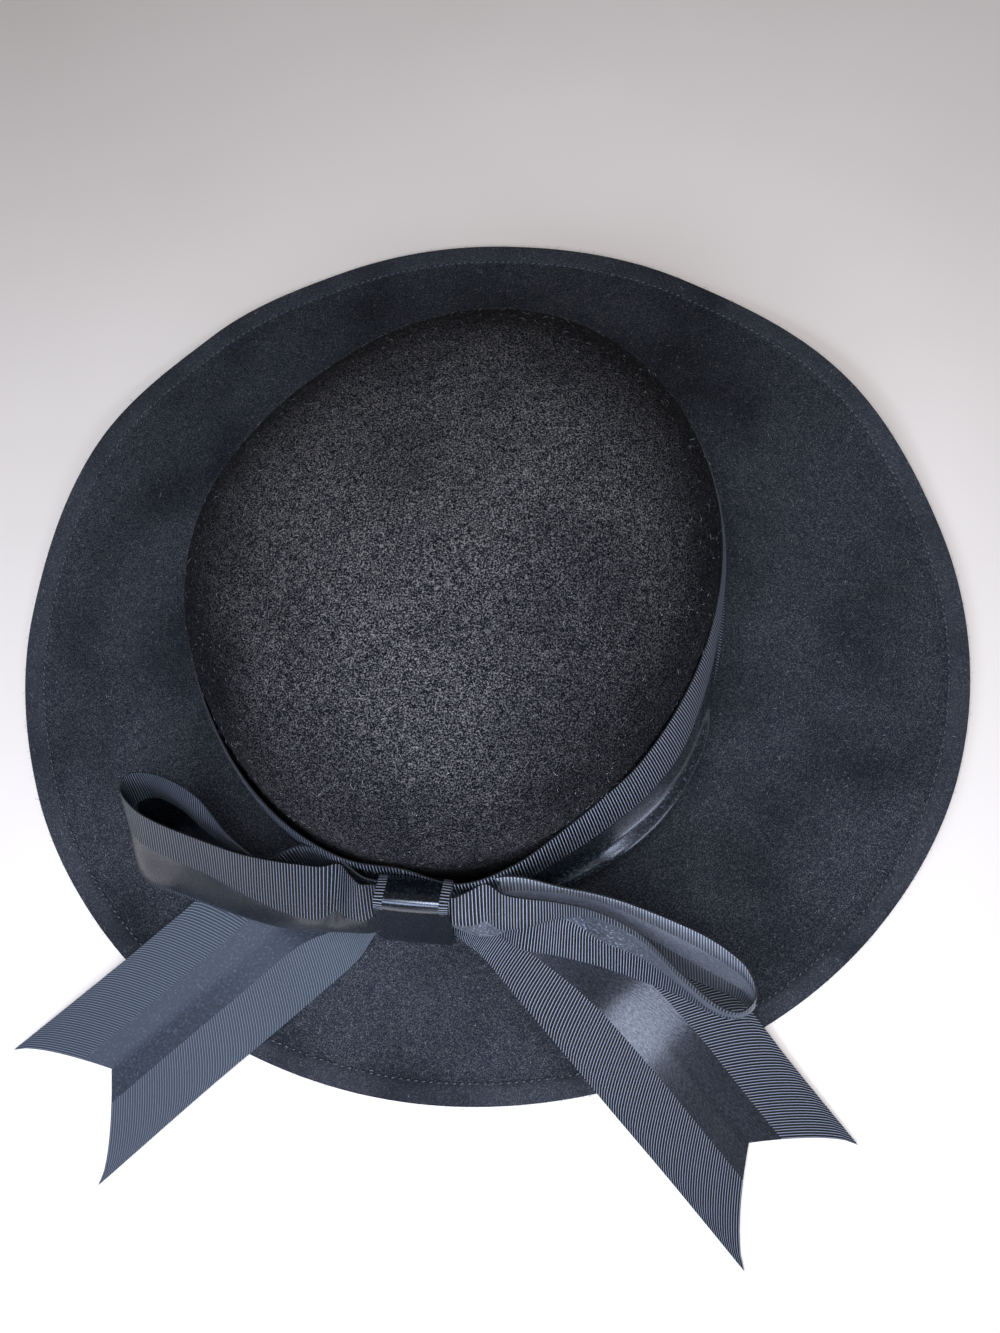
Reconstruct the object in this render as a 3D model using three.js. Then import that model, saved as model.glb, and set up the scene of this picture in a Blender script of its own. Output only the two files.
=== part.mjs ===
// A wide-brim felt hat with a ribbon band and a bow, resting on its brim.
// Millimetres, +Z up. The pieces are set out about the crown's axis, with the bow toward -Y,
// and the whole hat is then moved so that its origin is the centre of its footprint.
import * as THREE from 'three';

// Felt body
const FELT = 2.4;             // thickness of the felt
const CROWN_RADIUS = 93;      // mean outer radius where the crown meets the brim
const CROWN_HEIGHT = 91.5;    // rise of the crown above that join
const CROWN_TAPER = 0.0955;   // share of the radius lost between the join and the top
const CROWN_LEAN_Y = -2.9;    // how far the top leans toward the bow
const DOME_START = 0.45;      // share of the height where the walls start to round over
const DOME_POWER = 2.57;      // shoulder of the dome: 2 is an ellipse, more is squarer
const JOIN_Z = 20;            // top face of the brim where it meets the crown
const FILLET = 6;             // radius of the crease between crown and brim
const BRIM_REACH = 171.5;     // mean distance from the crown's axis to the brim's edge
const BRIM_DROOP = 1.25;      // 1 is a straight slope, more is steeper beside the crown
const HEM_WIDTH = 6.5;        // turned hem along the edge
const HEM_RISE = 0.5;         // how far the hem stands above the brim
const HEM_FOOT = 1;           // width of the step up to the hem
const EDGE_ROUND = 0.8;       // softening of the hem's outer corners

// Plan of the crown: waves round it, as shares of the radius, and the azimuth of one crest
const CROWN_WAVES = [
  { waves: 1, share: 0.0099, crest: 48 },
  { waves: 2, share: 0.0667, crest: 75 },
  { waves: 3, share: 0.0212, crest: 51 },
  { waves: 4, share: 0.0157, crest: -3 },
];

// Plan of the brim: waves in its reach
const BRIM_WAVES = [
  { waves: 1, reach: 3.2, crest: 29 },
  { waves: 2, reach: 3.9, crest: 7 },
  { waves: 3, reach: 2.1, crest: -12 },
];

// Height of the brim's edge above the surface it rests on, which it touches where the lift is 0
const BRIM_LIFT = [
  { azimuth: 20, lift: 4 },
  { azimuth: 42, lift: 9.5 },
  { azimuth: 68, lift: 3 },
  { azimuth: 95, lift: 0 },
  { azimuth: 118, lift: 0 },
  { azimuth: 138, lift: 4 },
  { azimuth: 160, lift: 10 },
  { azimuth: 185, lift: 5 },
  { azimuth: 208, lift: 2 },
  { azimuth: 226, lift: 0 },
  { azimuth: 252, lift: 0 },
  { azimuth: 275, lift: 2.5 },
  { azimuth: 300, lift: 0 },
  { azimuth: 330, lift: 0 },
  { azimuth: 350, lift: 3 },
];

// The bow draws the crown in behind it
const TUCK_DEPTH = 3.5;
const TUCK_SPREAD = 22;       // degrees either side of the bow

// Shallow dents in the top of the crown
const CROWN_DENTS = [
  { x: -12, y: 32, spread: 20, depth: 2.2 },
  { x: -50, y: -12, spread: 15, depth: 1.8 },
];
const DENT_FROM_Z = 75;
const DENT_FULL_Z = 95;

// Ribbon
const RIBBON_WALL = 1;        // thickness of one layer
const SEAT = 0.4;             // clearance of a ribbon from what carries it
const BOW_AZIMUTH = 270;      // side of the crown that carries the bow
const BAND_TOP = 56;          // upper edge of the band above the join
const BAND_LOW = 2.5;         // lower edge of the band above the join
const BAND_EASE = 0.8;        // how far the band's lower half stands off the crown all round
const BAND_FLARE = 8.3;       // how far more it stands off beside the bow
const FLARE_AZIMUTH = 318;    // middle of that stretch
const FLARE_SPREAD = 55;      // degrees either side of it
const BULGE_START = 0.2;      // share of the band's depth where it starts to stand off
const BULGE_FULL = 0.85;      // share of the depth where it stands off most
const TURN_UNDER = 0.25;      // share of that distance lost again at the low edge
const TAIL_FALL = 26;         // distance past the brim's edge in which a tail reaches the surface
const TAIL_FLOOR = 0.4;       // clearance of a tail from that surface
const TAIL_WAVE = 1.1;        // height of the waves along a tail
const TAIL_WAVES = 2.5;       // number of waves along a tail
const NOTCH_SHARE = 0.064;    // share of a tail's length taken by its notch
const NOTCH_POWER = 0.75;     // 1 is a straight cut, less is a hollow one

// Knot: its section in the plane across the bow, and its width along the band
const KNOT_WIDTH = 25;
const KNOT_CORNER = 2;
const KNOT_SECTION = [
  { y: -91.2, z: 80 },
  { y: -97.4, z: 80 },
  { y: -112.2, z: 24.5 },
  { y: -98.6, z: 24.5 },
  { y: -95.4, z: 64 },
  { y: -93.4, z: 75 },
];

// Sections along each ribbon: a point on its low edge, a point on its top edge, and the depth of the
// fold between them, toward the front when positive
const LOOP_LEFT = [
  { low: [-2, -109, 28.5], top: [-2, -96.9, 75], fold: 0 },
  { low: [-14, -109, 28], top: [-14, -96.9, 75], fold: 0 },
  { low: [-30, -113.5, 22], top: [-26, -95, 75], fold: -3 },
  { low: [-58, -113, 17], top: [-48, -94, 71.5], fold: 1 },
  { low: [-88, -108.7, 12], top: [-80, -88, 66], fold: 1.5 },
  { low: [-101, -104, 10.5], top: [-92.5, -80.5, 63], fold: 1 },
  { low: [-97, -99, 11], top: [-88, -75.2, 64], fold: -1 },
  { low: [-76, -100, 14.5], top: [-68, -80.5, 68], fold: -2 },
  { low: [-46, -107, 22], top: [-44, -91.5, 72], fold: 0 },
  { low: [-14, -103.2, 30], top: [-14, -95.6, 75], fold: 0 },
  { low: [-2, -103, 29], top: [-2, -95.6, 75], fold: 0 },
];
const LOOP_RIGHT = [
  { low: [2, -109, 28.5], top: [2, -96.9, 75], fold: 0 },
  { low: [14, -109, 28], top: [14, -96.9, 75], fold: 0 },
  { low: [32, -110, 22.5], top: [35, -95.5, 74], fold: -4 },
  { low: [56, -111.5, 17.5], top: [59, -97, 72], fold: -1 },
  { low: [77, -114.5, 13.5], top: [76, -105.5, 70.5], fold: 1.5 },
  { low: [98, -121, 10], top: [91, -115, 66.5], fold: 1.5 },
  { low: [109, -121, 9.5], top: [102, -113.5, 65], fold: 0 },
  { low: [108, -116, 9.5], top: [101, -107.5, 65], fold: -1 },
  { low: [90, -111, 11.5], top: [88, -98.5, 68], fold: -2 },
  { low: [64, -106.5, 17], top: [65, -92.8, 72], fold: -1 },
  { low: [36, -104.5, 25], top: [36, -91.2, 74], fold: 0 },
  { low: [14, -103.2, 30.5], top: [14, -95.6, 75], fold: 0 },
  { low: [2, -103, 29], top: [2, -95.6, 75], fold: 0 },
];
const TAIL_LEFT = [
  { low: [-2.5, -100.3, 28], top: [-2.5, -99.3, 41], fold: 0 },
  { low: [-15, -100.8, 27.5], top: [-15, -99.1, 40], fold: 0 },
  { low: [-17, -110, 20.5], top: [-36, -97, 27], fold: 0 },
  { low: [-21, -123, 10], top: [-60, -92, 20.5], fold: 0 },
  { low: [-33, -137, 5], top: [-77, -103, 10], fold: 0 },
  { low: [-53, -158, 2], top: [-96, -121, 5], fold: 0 },
  { low: [-98, -207, 0], top: [-139.3, -169.9, 0], fold: 0 },
];
const TAIL_RIGHT = [
  { low: [2.5, -100.3, 28], top: [2.5, -99.3, 41], fold: 0 },
  { low: [15, -100.8, 27.5], top: [15, -99.1, 40], fold: 0 },
  { low: [18, -110, 20.5], top: [37, -96.5, 26], fold: 0 },
  { low: [27, -121, 10], top: [63, -90, 19], fold: 0 },
  { low: [45, -136, 5], top: [84, -97, 10], fold: 0 },
  { low: [70, -157, 2], top: [107, -117, 5], fold: 0 },
  { low: [117.4, -198.4, 0], top: [150.5, -155.6, 0], fold: 0 },
];

// The crown's axis, measured from the centre of the hat's footprint
const AXIS_X = -4.5;
const AXIS_Y = 18.5;

// Fineness of the faceted solids
const COLUMNS = 56;
const DOME_ROWS = 9;
const WALL_ROWS = 4;
const FILLET_ROWS = 4;
const BRIM_ROWS = 6;
const BAND_ROWS = 8;
const LOOP_STEPS = 48;
const TAIL_STEPS = 22;
const RIBBON_ACROSS = 6;
const KNOT_CORNER_STEPS = 4;

const radians = THREE.MathUtils.degToRad;
const { clamp, lerp, smoothstep } = THREE.MathUtils;

const feltMaterial = new THREE.MeshStandardMaterial({ color: 0x1c1c1f, roughness: 0.95, metalness: 0 });
const ribbonMaterial = new THREE.MeshStandardMaterial({ color: 0x15161a, roughness: 0.45, metalness: 0 });

// Angle in degrees between an azimuth in radians and one in degrees
function degreesFrom(azimuth, degrees) {
  const turn = THREE.MathUtils.radToDeg(azimuth) - degrees;
  return Math.abs(THREE.MathUtils.euclideanModulo(turn + 180, 360) - 180);
}

function crownRadius(azimuth) {
  let share = 1;
  for (const row of CROWN_WAVES) {
    share += row.share * Math.cos(row.waves * (azimuth - radians(row.crest)));
  }
  const fromBow = degreesFrom(azimuth, BOW_AZIMUTH) / TUCK_SPREAD;
  return CROWN_RADIUS * share - TUCK_DEPTH * Math.exp(-(fromBow ** 2) / 2);
}

function brimReach(azimuth) {
  let reach = BRIM_REACH;
  for (const row of BRIM_WAVES) {
    reach += row.reach * Math.cos(row.waves * (azimuth - radians(row.crest)));
  }
  return reach;
}

function brimLift(azimuth) {
  const first = BRIM_LIFT[0];
  const rows = [...BRIM_LIFT, { azimuth: first.azimuth + 360, lift: first.lift }];
  const turn = THREE.MathUtils.euclideanModulo(THREE.MathUtils.radToDeg(azimuth) - first.azimuth, 360);
  const degrees = first.azimuth + turn;
  const next = rows.findIndex((row, i) => i > 0 && degrees <= row.azimuth);
  const [a, b] = [rows[next - 1], rows[next]];
  return lerp(a.lift, b.lift, smoothstep(degrees, a.azimuth, b.azimuth));
}

// Share of the crown's base radius at a level between the join (0) and the top (1)
function crownShare(level) {
  const rounding = Math.max(0, (level - DOME_START) / (1 - DOME_START));
  return (1 - CROWN_TAPER * level) * (1 - rounding ** DOME_POWER) ** (1 / DOME_POWER);
}

// Radius where the crease between crown and brim ends and the brim begins
function brimFoot(azimuth) {
  return crownRadius(azimuth) * crownShare(FILLET / CROWN_HEIGHT) + FILLET;
}

// Outer radius of the crown's wall at a rise above the join, with the crease at its foot
function wallRadius(azimuth, rise) {
  const wall = crownRadius(azimuth) * crownShare(rise / CROWN_HEIGHT);
  if (rise >= FILLET) return wall;
  return brimFoot(azimuth) - Math.sqrt(FILLET ** 2 - (FILLET - rise) ** 2);
}

// Height of the brim's top face, and of the fall from its edge to the surface the hat rests on
function brimTop(azimuth, radius) {
  const foot = brimFoot(azimuth);
  const hem = brimReach(azimuth) - HEM_WIDTH;
  const edge = FELT + brimLift(azimuth);
  if (radius < foot) {
    const inward = Math.min(foot - radius, FILLET);
    return JOIN_Z + FILLET - Math.sqrt(FILLET ** 2 - inward ** 2);
  }
  const along = clamp((radius - foot) / (hem - HEM_FOOT - foot), 0, 1);
  const slope = JOIN_Z + (edge - JOIN_Z) * (1 - (1 - along) ** BRIM_DROOP);
  const past = radius - brimReach(azimuth);
  const rise = HEM_RISE * smoothstep(radius, hem - HEM_FOOT, hem);
  return (slope + rise) * (1 - smoothstep(past, 0, TAIL_FALL));
}

// Point of the felt at a radius and height, with the crown's lean and dents
function feltPoint(azimuth, radius, z) {
  const level = Math.max(0, (z - JOIN_Z) / CROWN_HEIGHT);
  const x = radius * Math.cos(azimuth);
  const y = radius * Math.sin(azimuth) + CROWN_LEAN_Y * level;
  const share = smoothstep(z, DENT_FROM_Z, DENT_FULL_Z);
  let dent = 0;
  for (const row of CROWN_DENTS) {
    const apart = ((x - row.x) ** 2 + (y - row.y) ** 2) / (2 * row.spread ** 2);
    dent += row.depth * share * Math.exp(-apart);
  }
  return new THREE.Vector3(x, y, z - dent);
}

// Outer and inner lines of the felt from the top of the crown to the hem, as radius and height
function feltSection(azimuth) {
  const base = crownRadius(azimuth);
  const top = JOIN_Z + CROWN_HEIGHT;
  const outer = [];
  for (let i = 1; i <= DOME_ROWS; i++) {
    const turn = radians(90) * (1 - i / DOME_ROWS);
    const level = DOME_START + (1 - DOME_START) * Math.sin(turn) ** (2 / DOME_POWER);
    const share = (1 - CROWN_TAPER * level) * Math.cos(turn) ** (2 / DOME_POWER);
    outer.push({ radius: base * share, z: JOIN_Z + CROWN_HEIGHT * level });
  }
  for (let i = 1; i <= WALL_ROWS; i++) {
    const level = lerp(DOME_START, FILLET / CROWN_HEIGHT, i / WALL_ROWS);
    outer.push({ radius: base * crownShare(level), z: JOIN_Z + CROWN_HEIGHT * level });
  }
  const inner = outer.map((point, i) => {
    const before = i > 0 ? outer[i - 1] : { radius: 0, z: top };
    const after = outer[i + 1] ?? { radius: point.radius, z: point.z - 1 };
    const run = after.radius - before.radius;
    const drop = before.z - after.z;
    const length = Math.hypot(run, drop);
    return { radius: point.radius - FELT * drop / length, z: point.z - FELT * run / length };
  });
  const foot = brimFoot(azimuth);
  for (let i = 1; i <= FILLET_ROWS; i++) {
    const turn = radians(lerp(180, 270, i / FILLET_ROWS));
    for (const [line, round] of [[outer, FILLET], [inner, FILLET + FELT]]) {
      line.push({ radius: foot + round * Math.cos(turn), z: JOIN_Z + FILLET + round * Math.sin(turn) });
    }
  }
  const hem = brimReach(azimuth) - HEM_WIDTH - HEM_FOOT;
  for (let i = 1; i <= BRIM_ROWS; i++) {
    const radius = lerp(foot, hem, i / BRIM_ROWS);
    const z = brimTop(azimuth, radius);
    outer.push({ radius, z });
    inner.push({ radius, z: z - FELT });
  }
  return { outer, inner };
}

// Whole line of the felt's section: down the outside, round the hem and up the inside
function feltLine(azimuth) {
  const { outer, inner } = feltSection(azimuth);
  const reach = brimReach(azimuth);
  const under = brimLift(azimuth);
  const hemTop = under + FELT + HEM_RISE;
  const hem = [
    { radius: reach - HEM_WIDTH, z: hemTop },
    { radius: reach - EDGE_ROUND, z: hemTop },
    { radius: reach, z: (under + hemTop) / 2 },
    { radius: reach - EDGE_ROUND, z: under },
  ];
  return [...outer, ...hem, ...inner.reverse()];
}

function geometryFrom(positions, triangles) {
  const geometry = new THREE.BufferGeometry();
  geometry.setAttribute('position', new THREE.Float32BufferAttribute(positions, 3));
  geometry.setIndex(triangles);
  geometry.computeVertexNormals();
  return geometry;
}

// Crown and brim in one piece, closed at the top of the crown by two fans
function feltBody() {
  const positions = [];
  const triangles = [];
  let rows = 0;
  for (let column = 0; column < COLUMNS; column++) {
    const azimuth = radians(360) * column / COLUMNS;
    const line = feltLine(azimuth);
    rows = line.length;
    for (const { radius, z } of line) {
      positions.push(...feltPoint(azimuth, radius, z));
    }
  }
  const outerTop = COLUMNS * rows;
  const innerTop = outerTop + 1;
  positions.push(...feltPoint(0, 0, JOIN_Z + CROWN_HEIGHT));
  positions.push(...feltPoint(0, 0, JOIN_Z + CROWN_HEIGHT - FELT));
  for (let column = 0; column < COLUMNS; column++) {
    const here = column * rows;
    const next = ((column + 1) % COLUMNS) * rows;
    triangles.push(outerTop, here, next);
    for (let row = 0; row < rows - 1; row++) {
      triangles.push(here + row, here + row + 1, next + row + 1);
      triangles.push(here + row, next + row + 1, next + row);
    }
    triangles.push(innerTop, next + rows - 1, here + rows - 1);
  }
  return geometryFrom(positions, triangles);
}

// Distance of the band from the crown at a share of its depth, from its top (0) to its low edge (1)
function bandStandoff(azimuth, share) {
  const fromFlare = Math.min(1, degreesFrom(azimuth, FLARE_AZIMUTH) / FLARE_SPREAD);
  const bulge = smoothstep(share, BULGE_START, BULGE_FULL) - TURN_UNDER * smoothstep(share, BULGE_FULL, 1);
  const ease = BAND_EASE * smoothstep(degreesFrom(azimuth, BOW_AZIMUTH), 0, TUCK_SPREAD);
  return SEAT + bulge * (ease + BAND_FLARE * Math.cos(radians(90) * fromFlare) ** 2);
}

// Ribbon round the crown: a closed section swept round the crown's own plan
function hatBand() {
  const positions = [];
  const triangles = [];
  const rows = 2 * (BAND_ROWS + 1);
  for (let column = 0; column < COLUMNS; column++) {
    const azimuth = radians(360) * column / COLUMNS;
    for (let row = 0; row < rows; row++) {
      const outside = row <= BAND_ROWS;
      const share = (outside ? row : rows - 1 - row) / BAND_ROWS;
      const rise = lerp(BAND_TOP, BAND_LOW, share);
      const felt = wallRadius(azimuth, rise);
      const radius = felt + bandStandoff(azimuth, share) + (outside ? RIBBON_WALL : 0);
      const y = radius * Math.sin(azimuth) + CROWN_LEAN_Y * rise / CROWN_HEIGHT;
      positions.push(radius * Math.cos(azimuth), y, JOIN_Z + rise);
    }
  }
  for (let column = 0; column < COLUMNS; column++) {
    const here = column * rows;
    const next = ((column + 1) % COLUMNS) * rows;
    for (let row = 0; row < rows; row++) {
      const below = (row + 1) % rows;
      triangles.push(here + row, here + below, next + below);
      triangles.push(here + row, next + below, next + row);
    }
  }
  return geometryFrom(positions, triangles);
}

// Closed strip with two faces either side of a middle surface, given by its place along and across
function stripSolid(steps, middle) {
  const across = RIBBON_ACROSS + 1;
  const nudge = 1e-3;
  const positions = [];
  const triangles = [];
  for (const side of [0.5, -0.5]) {
    for (let i = 0; i <= steps; i++) {
      for (let j = 0; j < across; j++) {
        const along = i / steps;
        const width = 2 * j / RIBBON_ACROSS - 1;
        const run = middle(Math.min(along + nudge, 1), width).sub(middle(Math.max(along - nudge, 0), width));
        const rise = middle(along, Math.min(width + nudge, 1)).sub(middle(along, Math.max(width - nudge, -1)));
        const out = run.cross(rise).normalize().multiplyScalar(side * RIBBON_WALL);
        positions.push(...middle(along, width).add(out));
      }
    }
  }
  const back = (steps + 1) * across;
  const quad = (a, b, c, d) => triangles.push(a, b, c, a, c, d);
  for (let i = 0; i < steps; i++) {
    for (let j = 0; j < RIBBON_ACROSS; j++) {
      const here = i * across + j;
      quad(here, here + across, here + across + 1, here + 1);
      quad(back + here, back + here + 1, back + here + across + 1, back + here + across);
    }
  }
  const rim = [];
  for (let i = 0; i < steps; i++) rim.push(i * across);
  for (let j = 0; j < RIBBON_ACROSS; j++) rim.push(steps * across + j);
  for (let i = steps; i > 0; i--) rim.push(i * across + RIBBON_ACROSS);
  for (let j = RIBBON_ACROSS; j > 0; j--) rim.push(j);
  rim.forEach((here, i) => {
    const next = rim[(i + 1) % rim.length];
    quad(next, here, back + here, back + next);
  });
  return geometryFrom(positions, triangles);
}

// Smooth surface through a ribbon's sections, with each section's fold
function ribbonSurface(sections) {
  const low = new THREE.CatmullRomCurve3(sections.map((row) => new THREE.Vector3(...row.low)));
  const top = new THREE.CatmullRomCurve3(sections.map((row) => new THREE.Vector3(...row.top)));
  const folds = new THREE.CatmullRomCurve3(sections.map((row, i) => new THREE.Vector3(i, row.fold, 0)));
  return (along, width) => {
    const from = low.getPoint(along);
    const to = top.getPoint(along);
    const run = low.getTangent(along).add(top.getTangent(along));
    const out = run.cross(to.clone().sub(from)).normalize();
    const depth = folds.getPoint(along).y * Math.cos(radians(90) * width) ** 2;
    return from.lerp(to, (width + 1) / 2).addScaledVector(out, depth);
  };
}

function bowLoop(sections) {
  return stripSolid(LOOP_STEPS, ribbonSurface(sections));
}

// Free end of ribbon that lies on the brim, falls past its edge and ends in a notch
function bowTail(sections) {
  const surface = ribbonSurface(sections);
  const middle = (along, width) => {
    const reach = 1 - NOTCH_SHARE * (1 - Math.abs(width)) ** NOTCH_POWER;
    const point = surface(along * reach, width);
    const felt = brimTop(Math.atan2(point.y, point.x), Math.hypot(point.x, point.y));
    const wave = TAIL_WAVE * Math.sin(radians(180) * TAIL_WAVES * along) ** 2;
    const seat = Math.max(felt + SEAT, TAIL_FLOOR) + RIBBON_WALL / 2 + wave;
    point.z = Math.max(point.z, seat);
    return point;
  };
  return stripSolid(TAIL_STEPS, middle);
}

// Draws the knot's section on a path, moved in by a distance and rounded at its corners
function drawKnot(path, inset) {
  const corners = KNOT_SECTION.map((row) => new THREE.Vector2(row.y, row.z));
  const normals = corners.map((corner, i) => {
    const edge = corners[(i + 1) % corners.length].clone().sub(corner).normalize();
    return new THREE.Vector2(-edge.y, edge.x);
  });
  const inside = corners.map((corner, i) => {
    const before = normals[(i + corners.length - 1) % corners.length];
    const share = inset / (1 + before.dot(normals[i]));
    return corner.clone().addScaledVector(before, share).addScaledVector(normals[i], share);
  });
  inside.forEach((corner, i) => {
    const before = inside[(i + inside.length - 1) % inside.length];
    const after = inside[(i + 1) % inside.length];
    const start = before.clone().sub(corner).setLength(KNOT_CORNER).add(corner);
    const end = after.clone().sub(corner).setLength(KNOT_CORNER).add(corner);
    if (i === 0) path.moveTo(start.x, start.y);
    else path.lineTo(start.x, start.y);
    path.quadraticCurveTo(corner.x, corner.y, end.x, end.y);
  });
  return path;
}

// Ribbon strip wrapped round the gathered middle of the bow, as a sleeve along X
function bowKnot() {
  const sleeve = drawKnot(new THREE.Shape(), 0);
  sleeve.holes.push(drawKnot(new THREE.Path(), RIBBON_WALL));
  const options = { depth: KNOT_WIDTH, bevelEnabled: false, curveSegments: KNOT_CORNER_STEPS };
  const geometry = new THREE.ExtrudeGeometry(sleeve, options);
  const [x, y, z] = [new THREE.Vector3(1, 0, 0), new THREE.Vector3(0, 1, 0), new THREE.Vector3(0, 0, 1)];
  geometry.translate(0, 0, -KNOT_WIDTH / 2);
  return geometry.applyMatrix4(new THREE.Matrix4().makeBasis(y, z, x));
}

function piece(name, geometry, material) {
  const mesh = new THREE.Mesh(geometry, material);
  mesh.name = name;
  return mesh;
}

const hat = new THREE.Group();
hat.position.set(AXIS_X, AXIS_Y, 0);
hat.add(piece('felt_body', feltBody(), feltMaterial));
hat.add(piece('hat_band', hatBand(), ribbonMaterial));
hat.add(piece('bow_loop_left', bowLoop(LOOP_LEFT), ribbonMaterial));
hat.add(piece('bow_loop_right', bowLoop(LOOP_RIGHT), ribbonMaterial));
hat.add(piece('bow_knot', bowKnot(), ribbonMaterial));
hat.add(piece('bow_tail_left', bowTail(TAIL_LEFT), ribbonMaterial));
hat.add(piece('bow_tail_right', bowTail(TAIL_RIGHT), ribbonMaterial));

export default hat;
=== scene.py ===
"""Dresses a wide-brim wool felt hat, its ribbon band and its bow, at rest on a pale floor."""
import logging
import math
from dataclasses import dataclass, field
from enum import Enum
from itertools import pairwise

import bpy
import numpy as np
from mathutils import Matrix, Vector, noise
from mathutils.bvhtree import BVHTree


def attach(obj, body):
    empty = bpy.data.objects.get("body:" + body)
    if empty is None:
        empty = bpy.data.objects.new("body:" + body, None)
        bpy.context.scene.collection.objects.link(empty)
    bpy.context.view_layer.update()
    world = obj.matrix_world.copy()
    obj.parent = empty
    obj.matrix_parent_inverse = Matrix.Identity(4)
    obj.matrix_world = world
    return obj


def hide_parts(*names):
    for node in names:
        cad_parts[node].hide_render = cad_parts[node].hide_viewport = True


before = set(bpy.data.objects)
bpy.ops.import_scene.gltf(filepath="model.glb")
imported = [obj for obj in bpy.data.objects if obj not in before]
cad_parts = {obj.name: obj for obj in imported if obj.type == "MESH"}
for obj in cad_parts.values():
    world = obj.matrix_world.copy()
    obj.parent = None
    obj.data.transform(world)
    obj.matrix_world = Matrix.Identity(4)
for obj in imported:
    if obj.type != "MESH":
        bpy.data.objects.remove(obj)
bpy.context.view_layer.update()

LOG = logging.getLogger("hat")

# Shapes are worked out in millimetres about the crown's axis, with the bow toward -Y
MM = 0.001
CROWN_AXIS = np.array([-4.5, 18.5, 0.0])
BOW_AZIMUTH = math.radians(270)

# Ribbon
RIBBON_WIDTH = 57.0
STRIPE = RIBBON_WIDTH / 3
RIBBON_THICK = 0.4
SEAT = 0.25


class Stripe(Enum):
    """The weaves of the ribbon, by the material slot that each takes on a ribbon piece."""

    GROSGRAIN = 0
    SATIN = 1
    GROSGRAIN_EDGE = 2
    SATIN_EDGE = 3
    GROSGRAIN_REVERSE = 4
    SATIN_REVERSE = 5


class Hold(Enum):
    """How a ribbon is held on the hat."""

    STRETCHED = "stretched"
    GATHERED = "gathered"
    DRAPED = "draped"
    FOLDED = "folded"


def linear(hex_colour: str) -> tuple[float, float, float, float]:
    """Turns an sRGB hex colour into a linear one.

    Args:
        hex_colour: Six hex digits, with or without a leading #.

    Returns:
        Red, green, blue and alpha.
    """
    digits = hex_colour.lstrip("#")
    shares = [int(digits[i:i + 2], 16) / 255 for i in (0, 2, 4)]
    red, green, blue = (s / 12.92 if s <= 0.04045 else ((s + 0.055) / 1.055) ** 2.4 for s in shares)
    return red, green, blue, 1.0


def per_mm(size: float) -> float:
    """Scale of a pattern on Object coordinates whose features are size millimetres wide."""
    return 1 / (size * MM)


def add_node(tree: bpy.types.NodeTree, kind: str, inputs: dict | None = None, **settings) -> bpy.types.Node:
    """Adds a shader node.

    Args:
        tree: The material's node tree.
        kind: The node's type name.
        inputs: Input names or numbers, each with a value or with the output socket to link.
        **settings: The node's own properties.

    Returns:
        The new node.
    """
    node = tree.nodes.new(kind)
    for name, value in settings.items():
        setattr(node, name, value)
    for name, value in (inputs or {}).items():
        if isinstance(value, bpy.types.NodeSocket):
            tree.links.new(value, node.inputs[name])
        else:
            node.inputs[name].default_value = value
    return node


def new_material(name: str) -> tuple[bpy.types.Material, bpy.types.NodeTree, bpy.types.Node]:
    """Makes a material with one Principled shader.

    Args:
        name: The material's name.

    Returns:
        The material, its node tree and its shader.
    """
    material = bpy.data.materials.new(name)
    material.use_nodes = True
    tree = material.node_tree
    return material, tree, tree.nodes["Principled BSDF"]


def colour_ramp(tree: bpy.types.NodeTree, factor: bpy.types.NodeSocket, stops: dict[float, str]) -> bpy.types.NodeSocket:
    """Colours a factor by a few stops.

    Args:
        tree: The material's node tree.
        factor: The output that drives the ramp.
        stops: Places from 0 to 1, each with an sRGB hex colour.

    Returns:
        The colour output.
    """
    ramp = add_node(tree, "ShaderNodeValToRGB", {"Fac": factor})
    elements = ramp.color_ramp.elements
    while len(elements) < len(stops):
        elements.new(0.5)
    for element, (place, colour) in zip(elements, stops.items()):
        element.position = place
        element.color = linear(colour)
    return ramp.outputs["Color"]


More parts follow.
